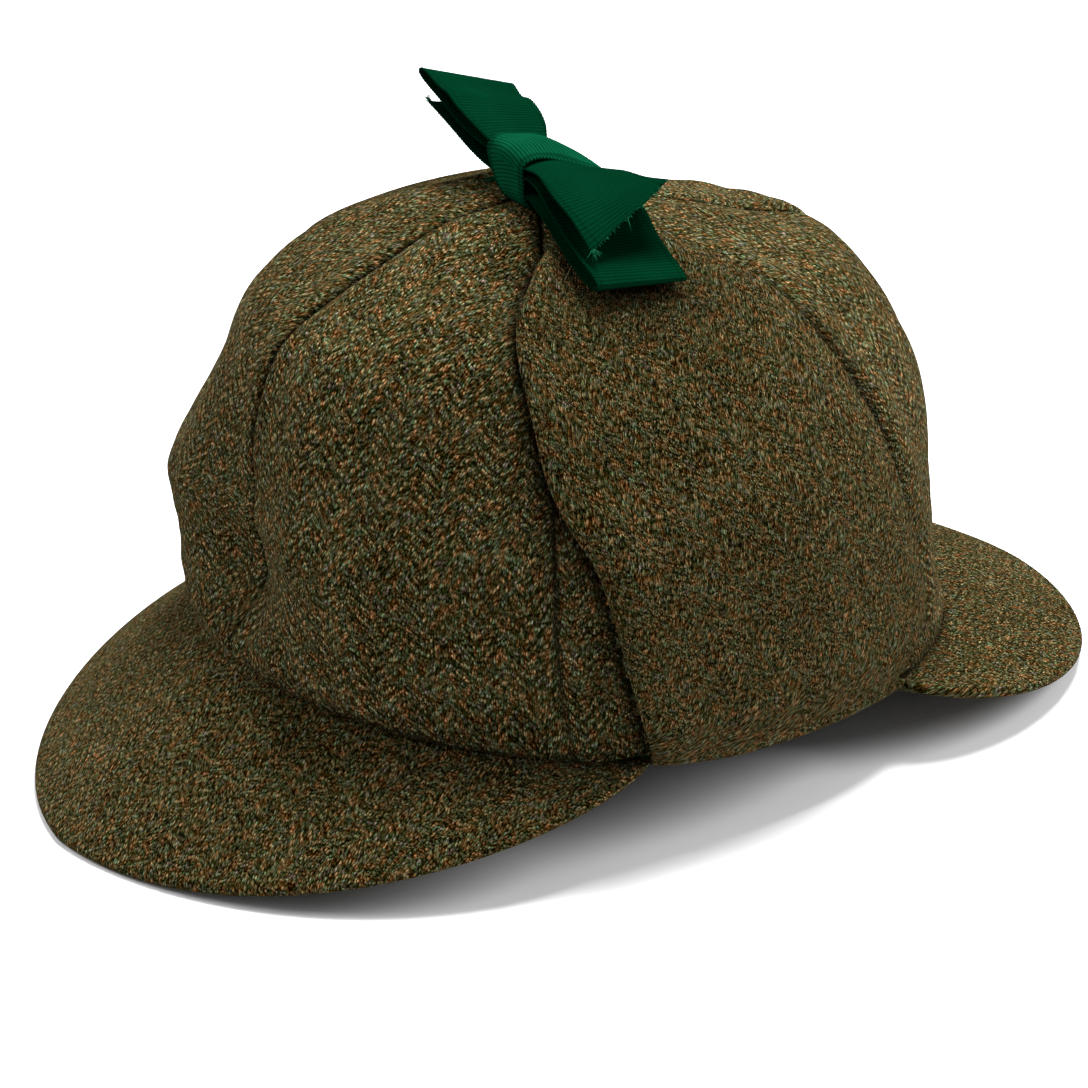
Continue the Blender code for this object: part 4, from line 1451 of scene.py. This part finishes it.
@dataclass
class Bow:
    """The ribbon that ties the flaps: two loops, two cut ends, the knot and the ties."""

    form: CrownForm
    finish: bpy.types.Material
    taut_painted_lit_finish: bpy.types.Material
    thread_finish: bpy.types.Material
    wall: float = 0.5 * MM
    across: int = 15
    parts: int = 7
    # The beads along a selvedge: how far apart they are, then their radius and how deep in painted shade
    # they lie. The knot is pulled tight, so that its selvedges stand out as cords, and they are painted in
    # deeper shade.
    bead_pitch: float = 1.05 * MM
    bead: tuple[float, float] = (0.40 * MM, 0.5)
    knot_bead: tuple[float, float] = (0.52 * MM, 0.85)
    # How deep in shade each loop and end lies, under the ones above it, and how far out
    # the shade ends and how far it fades.
    shades: tuple[tuple[str, float], ...] = (
        ("loop_right", 0.0),
        ("tail_right", 0.3),
        ("loop_left", 0.7),
        ("tail_left", 0.0),
    )
    shade_end: float = 52 * MM
    shade_fade: float = 9 * MM
    # The loose threads at a cut end: how many there are, the first of them that are long,
    # the next that hang from the front corner, their lengths in mm, and their radius.
    threads: int = 170
    long_threads: int = 5
    corner_threads: int = 30
    thread_lengths: tuple[float, float] = (0.4, 1.5)
    long_lengths: tuple[float, float] = (2.5, 4.0)
    corner_lengths: tuple[float, float] = (1.5, 3.6)
    thread_radius: float = 0.14 * MM
    # How far the threads stray from straight out and bend, and how ragged the cut is.
    thread_stray: float = 0.24
    thread_bend: float = 0.3
    raggedness: float = 0.9 * MM
    # Each row is one line across a ribbon. Columns, in mm: x, y and z of its front
    # selvedge, then of its rear selvedge, and how high its middle is arched.
    loop_right: tuple[tuple[float, ...], ...] = (
        (-0.6, -14.2, 159.4, -0.6, 4.2, 155.2, 1.6),
        (-7.0, -15.4, 161.4, -11.6, 4.4, 155.8, 1.2),
        (-12.0, -16.8, 164.2, -16.6, 6.6, 158.6, 0.4),
        (-20.0, -17.8, 167.8, -21.0, 7.2, 161.4, 0.0),
        (-24.6, -17.8, 169.9, -25.4, 7.2, 162.9, 0.0),
        (-29.0, -17.8, 170.5, -29.3, 7.2, 162.4, 0.0),
        (-37.6, -17.8, 172.8, -34.4, 7.2, 164.6, 0.0),
        (-39.2, -17.8, 171.8, -35.8, 7.2, 163.4, 0.0),
        (-37.4, -17.8, 170.4, -34.2, 7.2, 162.0, 0.0),
        (-28.0, -17.8, 167.0, -27.0, 7.2, 159.2, 0.0),
        (-19.0, -17.4, 163.2, -19.0, 6.6, 157.0, 0.0),
        (-12.0, -16.2, 160.4, -14.0, 4.4, 154.9, 0.2),
        (-7.0, -14.8, 158.8, -11.4, 3.6, 153.9, 0.4),
        (-0.6, -14.2, 157.0, -0.6, 3.8, 153.6, 0.6),
    )
    tail_right: tuple[tuple[float, ...], ...] = (
        (-0.6, -14.6, 153.4, -0.6, 3.4, 150.8, -0.4),
        (-7.6, -16.0, 154.8, -11.2, 3.0, 151.4, -0.2),
        (-14.0, -16.9, 157.0, -16.0, 5.2, 152.8, 0.0),
        (-25.0, -17.8, 161.7, -24.0, 7.0, 155.6, 0.0),
        (-35.4, -17.8, 164.8, -32.0, 7.0, 158.0, 0.0),
    )
    loop_left: tuple[tuple[float, ...], ...] = (
        (0.6, -14.2, 156.4, 0.6, 4.0, 153.0, 0.8),
        (8.4, -14.4, 156.0, 14.2, 3.9, 153.0, 1.0),
        (18.0, -16.6, 156.2, 22.0, 6.4, 153.6, 0.4),
        (28.0, -18.2, 152.6, 32.0, 6.6, 150.2, 0.0),
        (37.0, -18.8, 148.3, 38.0, 6.2, 146.0, 0.0),
        (45.0, -19.6, 145.7, 46.0, 5.4, 142.8, 0.0),
        (50.6, -20.2, 144.0, 52.4, 5.0, 140.5, 0.0),
        (52.8, -20.2, 142.0, 54.0, 5.0, 139.1, 0.0),
        (51.2, -20.0, 140.5, 52.4, 5.0, 138.2, 0.0),
        (43.0, -19.4, 141.6, 44.0, 5.4, 140.6, 0.0),
        (32.0, -18.4, 145.4, 33.0, 6.0, 144.4, 0.0),
        (22.0, -17.0, 149.2, 23.0, 6.0, 147.8, 0.0),
        (13.0, -15.4, 150.8, 15.6, 3.4, 149.9, 0.0),
        (8.0, -14.8, 151.8, 14.2, 3.0, 150.5, 0.0),
        (0.6, -14.4, 152.2, 0.6, 3.4, 150.4, 0.0),
    )
    tail_left: tuple[tuple[float, ...], ...] = (
        (0.6, -14.2, 158.4, 0.6, 4.4, 155.0, 1.9),
        (8.4, -14.4, 158.3, 14.2, 4.4, 155.0, 1.9),
        (17.0, -15.6, 159.4, 20.0, 6.4, 157.2, 1.0),
        (28.0, -17.8, 157.6, 31.0, 7.2, 158.6, 0.0),
        (37.0, -17.8, 154.2, 37.5, 7.2, 160.0, 0.0),
        (46.2, -17.8, 148.6, 42.8, 7.2, 161.4, 0.0),
    )
    # The knot's band from its front over the top and round. Columns, in mm: x, y and z of
    # its right selvedge, then of its left selvedge, and how far its middle is domed.
    knot: tuple[tuple[float, ...], ...] = (
        (-5.7, -17.2, 160.6, 8.1, -15.2, 158.2, 0.4),
        (-5.3, -16.2, 163.0, 8.3, -14.0, 160.0, 0.8),
        (-6.2, -13.6, 163.5, 8.3, -11.6, 160.6, 1.4),
        (-7.3, -9.4, 162.4, 7.9, -8.2, 160.1, 2.0),
        (-9.0, -4.0, 160.4, 8.6, -3.6, 158.6, 2.5),
        (-10.0, 1.2, 158.0, 11.6, 1.4, 157.0, 2.2),
        (-10.8, 5.2, 155.6, 15.0, 6.2, 155.1, 1.5),
        (-11.6, 7.0, 152.6, 16.4, 9.2, 151.9, 0.8),
        (-11.2, 5.0, 149.9, 14.2, 6.0, 149.6, 0.2),
        (-8.0, -2.0, 149.0, 12.0, -2.0, 148.7, 0.0),
        (-3.0, -9.0, 148.6, 10.6, -9.5, 148.2, 0.0),
        (0.4, -14.8, 148.2, 10.4, -14.2, 148.0, 0.2),
        (-1.0, -16.8, 151.0, 9.6, -15.8, 150.6, 0.3),
        (-4.6, -16.9, 155.6, 8.8, -15.6, 154.4, 0.3),
    )
    # The middle that the band goes round: y and z in mm. Then its points across, its thickness, and how
    # deep the painted shade beside the selvedges is.
    knot_middle: tuple[float, float] = (-5.0, 155.0)
    knot_across: int = 17
    knot_wall: float = 0.7 * MM
    knot_shade: float = 0.7
    # The ties: their rows and columns, where they start and end in x, and their size.
    tie_grid: tuple[int, int] = (8, 13)
    tie_ends: tuple[float, float] = (14.4 * MM, 25.6 * MM)
    tie_half_width: float = 7.0 * MM
    tie_standoff: float = 2.0 * MM

    def build(self) -> None:
        """Make the bow's pieces."""
        frayed = []
        tables = (self.loop_right, self.tail_right, self.loop_left, self.tail_left)
        for (name, depth), table in zip(self.shades, tables):
            cut = name.startswith("tail")
            cloth = self._ribbon(table, cut)
            out = np.abs(cloth.outer[..., 0])
            # Painted shade under the ribbons that lie above, fading out towards the ends.
            cloth.crease_and_painted_shade = depth * np.clip((self.shade_end - out) / self.shade_fade, 0, 1)
            self._publish(name, cloth, self.finish)
            if cut:
                frayed.append(cloth)
        self._publish("knot", self._knot(), self.taut_painted_lit_finish)
        for name, side in (("left", 1), ("right", -1)):
            self._publish(f"tie_{name}", self._tie(side), self.finish)
        self._threads(frayed)

    def _publish(
        self, name: str, cloth: Cloth, finish: bpy.types.Material
    ) -> None:
        """Put one ribbon with its beaded selvedges into the scene.

        Args:
            name: The name of its part of the bow.
            cloth: The ribbon, whose first and last columns (or rows, on a closed band) are
                its selvedges.
            finish: Its material.
        """
        middle = cloth.outer - cloth.normals * cloth.wall / 2
        radius, depth = self.knot_bead if cloth.closed else self.bead
        lines = (middle[at] if cloth.closed else middle[:, at] for at in (0, -1))
        cords = (beaded_cord(line, cloth.closed, radius, self.bead_pitch) for line in lines)
        trims = tuple((*cord, depth) for cord in cords)
        publish_cloth(
            f"bow_{name}", cloth, finish, f"ribbon_{name}", trims
        )

    def _ribbon(self, table: tuple[tuple[float, ...], ...], cut: bool) -> Cloth:
        """A length of ribbon.

        Args:
            table: The lines that cross it.
            cut: Whether it ends in a ragged cut.

        Returns:
            The ribbon's cloth.
        """
        lines = np.array(table) * MM
        shares = np.linspace(0, 1, self.across)[:, None]
        arch = (4 * shares * (1 - shares)) ** 0.8 * (0, 0, 1)
        grid = np.array([line[:3] + (line[3:6] - line[:3]) * shares + arch * line[6] for line in lines])
        grid = spline_rows(grid, self.parts)
        if not cut and lines[1, 0] > 0:
            grid = grid[:, ::-1]
        if cut:
            rng = np.random.default_rng(len(table))
            back = rng.uniform(0, self.raggedness, self.across)
            way = unit(grid[-2] - grid[-1])
            grid[-1] += way * back[:, None]
        outer = grid + Cloth(grid, self.wall).normals * self.wall / 2
        return Cloth(outer, self.wall)

    def _knot(self) -> Cloth:
        """The band of ribbon wound once round the bow's middle."""
        table = np.array(self.knot)
        lines = np.stack([table[:, :3], table[:, 3:6]], axis=1)
        middle = np.array([0.0, *self.knot_middle])
        shares = np.linspace(0, 1, self.knot_across)[:, None]
        around = []
        for (right, left), dome in zip(lines, table[:, 6]):
            line = right + (left - right) * shares
            outward = unit((line - middle) * (0, 1, 1))
            around.append(line + outward * dome * 4 * shares * (1 - shares))
        count = len(around)
        closed = spline_rows(np.array(around[-3:] + around + around[:3]), self.parts)
        section = closed[3 * self.parts : (3 + count) * self.parts] * MM
        grid = np.swapaxes(section, 0, 1)[:, ::-1]
        crease_and_painted_shade = np.zeros(grid.shape[:2])
        # Painted shade beside the knot's selvedges.
        crease_and_painted_shade[[1, -2]] = self.knot_shade
        cloth = Cloth(grid, self.knot_wall, closed=True, crease_and_painted_shade=crease_and_painted_shade)
        cloth.lay_along_rows()
        return cloth

    def _tie(self, side: int) -> Cloth:
        """The ribbon's run from a flap's tip to the knot, close on the top of the crown."""
        rows = []
        row_count, column_count = self.tie_grid
        for x in np.linspace(*self.tie_ends, row_count):
            line = []
            for across in np.linspace(-1, 1, column_count) * self.tie_half_width:
                azimuth = np.array(math.atan2(x, -across))
                share = math.hypot(x / self.form.widest_half_width, across / self.form.widest_front)
                level = np.array(1 - math.asin(share) * 2 / math.pi)
                line.append(self.form.plain(azimuth, level) + (0, 0, self.tie_standoff))
            rows.append(line)
        return Cloth(on_side(np.array(rows), side), self.wall)

    def _threads(self, frayed: list[Cloth]) -> None:
        """The loose threads at the two cut ends."""
        rng = np.random.default_rng(5)
        tufts = []
        for cloth in frayed:
            edge = cloth.outer[-1] - cloth.normals[-1] * cloth.wall / 2
            way = unit(cloth.outer[-1] - cloth.outer[-4])
            corner = slice(self.long_threads, self.long_threads + self.corner_threads)
            at = rng.uniform(0, len(edge) - 1, self.threads)
            at[corner] = rng.uniform(0, 0.5, self.corner_threads)
            low = np.floor(at).astype(int).clip(0, len(edge) - 2)
            base = edge[low] + (edge[low + 1] - edge[low]) * (at - low)[:, None]
            aim = unit(way[low] + rng.normal(0, self.thread_stray, (self.threads, 3)))
            length = rng.uniform(*self.thread_lengths, self.threads) * MM
            length[: self.long_threads] = rng.uniform(*self.long_lengths, self.long_threads) * MM
            length[corner] = rng.uniform(*self.corner_lengths, self.corner_threads) * MM
            bend = rng.normal(0, self.thread_bend, (self.threads, 3)) * length[:, None]
            tufts.append((base - aim * 0.3 * MM, aim, length, bend))
        parts = [np.concatenate(each) for each in zip(*tufts)]
        radius = np.full(len(parts[0]), self.thread_radius)
        points, faces, which = hairs(*parts, radius, 3)
        tone = rng.uniform(0.0, 1.0, len(parts[0]))[which]
        mesh = make_mesh("bow_threads", points, faces, None, {"tone": tone})
        publish("bow_threads", mesh, self.thread_finish)


def beaded_cord(line: Array, closed: bool, radius: float, pitch: float) -> tuple[Array, Array, Array]:
    """A fine cord along a line, that swells into a bead at each rib of the ribbon.

    Args:
        line: The line's points.
        closed: Whether the line is a loop.
        radius: The radius of the beads.
        pitch: The distance between beads.

    Returns:
        The cord's points, its quads, and the quads' corners on the flat cloth.
    """
    if closed:
        line = np.concatenate([line, line[:1]])
    places = arc_lengths(line)
    beads = max(3, round(float(places[-1]) / pitch))
    count = beads * 4 + 1
    at = np.linspace(0, places[-1], count)
    path = np.stack([np.interp(at, places, line[:, axis]) for axis in range(3)], axis=-1)
    ahead = np.gradient(path, axis=0)
    if closed:
        ahead[0] = ahead[-1] = path[1] - path[-2]
    swell = radius * (0.62 + 0.38 * np.abs(np.sin(np.arange(count) * math.pi / 4)))
    if not closed:
        swell[0] = swell[-1] = radius * 0.05
    sides = 6
    points = path[:, None] + circles(unit(ahead), (0.31, 0.23, 0.92), sides) * swell[:, None, None]
    total = count - 1 if closed else count
    points = points[:total]
    rows, cols = cell_corners(count - 1, sides)
    quads = (rows % total) * sides + cols % sides
    flats = np.stack([cols * radius, rows * pitch / 4], axis=-1)
    if not closed:
        first = np.array([[3, 2, 1, 0], [5, 4, 3, 0]])
        last = np.array([[0, 1, 2, 3], [0, 3, 4, 5]]) + (total - 1) * sides
        quads = np.concatenate([quads, first, last])
        flats = np.concatenate([flats, np.zeros((4, 4, 2))])
    return points.reshape(-1, 3), quads, flats


# ---- Loose fibres -------------------------------------------------------------------


def hairs(
    base: Array, aim: Array, length: Array, bend: Array, radius: Array, segments: int
) -> tuple[Array, list, Array]:
    """Thin closed spikes, bent into curves.

    Args:
        base: Where each starts.
        aim: The unit way that each starts in.
        length: How long each is.
        bend: How far each one's tip is moved off its straight line.
        radius: The radius of each at its base.
        segments: How many segments each has.

    Returns:
        The points, the faces, and the number of the hair that each point belongs to.
    """
    count = len(base)
    ring = circles(aim, (0.35, 0.52, 0.78), 3)
    blocks = []
    for k in range(segments):
        t = k / segments
        middle = base + aim * (length * t)[:, None] + bend * t**2
        blocks.append(middle[:, None] + ring * (radius * (1 - t) ** 0.5)[:, None, None])
    tip = base + aim * length[:, None] + bend
    points = np.concatenate([*blocks, tip[:, None]], axis=1)
    each = points.shape[1]
    shape = [(2, 1, 0)]
    for k in range(segments - 1):
        for j in range(3):
            low, high = 3 * k + j, 3 * k + (j + 1) % 3
            shape += [(low, high, high + 3), (low, high + 3, low + 3)]
    top = 3 * (segments - 1)
    shape += [(top + j, top + (j + 1) % 3, 3 * segments) for j in range(3)]
    faces = (np.arange(count)[:, None, None] * each + np.array(shape)[None]).reshape(-1, 3)
    return points.reshape(-1, 3), faces.tolist(), np.repeat(np.arange(count), each)


@dataclass
class Nap:
    """The loose wool fibres that stand on the tweed."""

    finish: bpy.types.Material
    per_square_metre: float = 100000.0
    lengths: tuple[float, float] = (0.7 * MM, 2.0 * MM)
    radius: float = 0.024 * MM
    # How far the fibres turn from the weave, rise from the cloth and bend.
    turn: float = 0.9
    rises: tuple[float, float] = (0.15, 0.75)
    bend: float = 0.32
    # How many of them are long, how many times as long, and how many times as thick.
    long_share: float = 0.005
    long_times: tuple[float, float] = (2.0, 4.0)
    long_thickness: float = 1.7
    # How much they droop, how their thickness varies, and how pale they are from 0 to 1:
    # the shape of the spread of the short ones, and the long ones.
    droop: float = 0.45
    thickness: tuple[float, float] = (0.7, 1.3)
    tones: tuple[float, float] = (1.6, 2.4)
    long_tone: float = 0.95
    seed: int = 17

    def build(self, name: str, sheets: list[tuple[Cloth, Array | None]]) -> None:
        """Scatter fibres over the outer faces of some sheets.

        Args:
            name: The piece's name.
            sheets: The sheets, each with where it shows, or None where it all does.
        """
        rng = np.random.default_rng(self.seed + len(name))
        parts = [self._on(rng, cloth, shown) for cloth, shown in sheets]
        base, normal, along = (np.concatenate(each) for each in zip(*parts))
        count = len(base)
        turn = rng.normal(0, self.turn, count)
        across = np.cross(normal, along)
        lie = along * np.cos(turn)[:, None] + across * np.sin(turn)[:, None]
        rise = rng.uniform(*self.rises, count)
        aim = unit(lie + normal * rise[:, None])
        length = rng.uniform(*self.lengths, count)
        long = rng.random(count) < self.long_share
        length[long] *= rng.uniform(*self.long_times, long.sum())
        bend = rng.normal(0, self.bend, (count, 3)) * length[:, None]
        bend = bend - normal * (length * rise * self.droop)[:, None]
        radius = self.radius * rng.uniform(*self.thickness, count)
        radius[long] *= self.long_thickness
        points, faces, which = hairs(base - normal * 0.1 * MM, aim, length, bend, radius, 2)
        tone = np.where(long, self.long_tone, rng.beta(*self.tones, count))[which]
        mesh = make_mesh(name, points, faces, None, {"tone": tone})
        publish(name, mesh, self.finish)

    def _on(
        self, rng: np.random.Generator, cloth: Cloth, shown: Array | None
    ) -> tuple[Array, Array, Array]:
        """Places on one sheet.

        Args:
            rng: The source of chance.
            cloth: The sheet.
            shown: Where it shows, by point, or None.

        Returns:
            The places, the normals there, and the ways along the sheet's columns.
        """
        grid = cloth.outer
        area = cell_areas(grid)
        if shown is not None:
            area = area * shown[:-1, :-1]
        total = float(area.sum())
        count = int(total * self.per_square_metre)
        cell = rng.choice(area.size, count, p=(area / total).ravel())
        row, col = np.unravel_index(cell, area.shape)
        s, t = rng.random((2, count, 1))
        low = grid[row, col] * (1 - s) + grid[row, col + 1] * s
        high = grid[row + 1, col] * (1 - s) + grid[row + 1, col + 1] * s
        return low * (1 - t) + high * t, cloth.normals[row, col], unit(high - low)


# ---- The studio ---------------------------------------------------------------------


@dataclass
class Studio:
    """The pale floor, the soft light and the camera."""

    floor_finish: bpy.types.Material
    floor_half: float = 4.0
    # How far the floor lies under the hat, so that the two don't touch.
    floor_gap: float = 0.0002
    # The camera's place, how it is turned in degrees, and its lens and sensor in mm.
    position: tuple[float, float, float] = (0.9752, -0.5826, 0.5724)
    azimuth: float = 59.406
    elevation: float = 24.862
    roll: float = -1.13
    lens: float = 154.5
    sensor: float = 36.0
    # How bright the sky is, and what the lamps are turned towards.
    sky: float = 0.40
    middle: tuple[float, float, float] = (0.0, 0.0, 0.08)
    # Columns: name, place, size and power of each lamp.
    lamps: tuple[tuple[str, tuple[float, float, float], float, float], ...] = (
        ("lamp_above", (-0.14, 0.32, 1.43), 0.6, 50.0),
        ("lamp_left", (-0.60, -0.85, 0.95), 0.9, 13.0),
        ("lamp_right", (0.62, 1.05, 0.75), 0.8, 20.0),
    )

    def build(self) -> None:
        """Make the floor, the lights and the camera."""
        self._floor()
        self._lights()
        self._camera()
        bpy.context.scene.view_settings.view_transform = "Standard"

    def _floor(self) -> None:
        """A level floor under the hat."""
        half = self.floor_half
        points = np.array([(-half, -half, 0), (half, -half, 0), (half, half, 0), (-half, half, 0)], float)
        mesh = make_mesh("floor", points - (0, 0, self.floor_gap), [(0, 1, 2, 3)], None, {})
        floor = add_object("floor", mesh)
        mesh.materials.append(self.floor_finish)

    def _lights(self) -> None:
        """A dim white sky and the lamps."""
        world = bpy.data.worlds.new("sky")
        bpy.context.scene.world = world
        world.use_nodes = True
        background = world.node_tree.nodes["Background"]
        background.inputs["Color"].default_value = (1.0, 1.0, 1.0, 1.0)
        background.inputs["Strength"].default_value = self.sky
        for name, place, size, power in self.lamps:
            data = bpy.data.lights.new(name, "AREA")
            data.shape = "DISK"
            data.size = size
            data.energy = power
            lamp = add_object(name, data)
            lamp.location = place
            aim = Vector(self.middle) - Vector(place)
            lamp.rotation_euler = aim.to_track_quat("-Z", "Y").to_euler()

    def _camera(self) -> None:
        """The camera at the photograph's place."""
        turn, tilt, roll = (math.radians(each) for each in (self.azimuth, self.elevation, self.roll))
        out = np.array([math.sin(turn), -math.cos(turn), 0.0])
        back = out * math.cos(tilt) + (0.0, 0.0, math.sin(tilt))
        level = np.array([math.cos(turn), math.sin(turn), 0.0])
        right = level * math.cos(roll) + np.cross(back, level) * math.sin(roll)
        up = np.cross(back, right)
        data = bpy.data.cameras.new("camera")
        data.lens = self.lens
        data.sensor_width = self.sensor
        data.clip_start = 0.05
        data.clip_end = 50.0
        camera = add_object("camera", data)
        pose = np.eye(4)
        pose[:3, 0], pose[:3, 1], pose[:3, 2], pose[:3, 3] = right, up, back, self.position
        camera.matrix_world = Matrix(pose.tolist())
        bpy.context.scene.camera = camera


# ---- The hat ------------------------------------------------------------------------


def main() -> None:
    """Build the hat and its studio."""
    logging.basicConfig(level=logging.INFO, format="%(message)s")
    form = CrownForm()
    flaps = EarFlaps(form, FELTED_TWEED.material())
    crown = Crown(form, flaps, Tweed().material())
    peaks = Peaks(form, STIFFENED_TWEED.material())
    ribbon = Grosgrain().material()
    crown.build()
    peaks.build()
    flaps.build()
    InnerBand(form, ribbon).build()
    Bow(form, ribbon, TAUT_PAINTED_LIT_RIBBON.material(), LOOSE_THREAD.material()).build()
    nap = Nap(LOOSE_WOOL.material())
    nap.build("nap_crown", crown.gores)
    nap.build("nap_flaps", [(sheet, None) for sheet in flaps.sheets])
    nap.build("nap_peaks", [(sheet, None) for sheet in peaks.sheets])
    Studio(PaleFloor().material()).build()


if __name__ == "__main__":
    main()
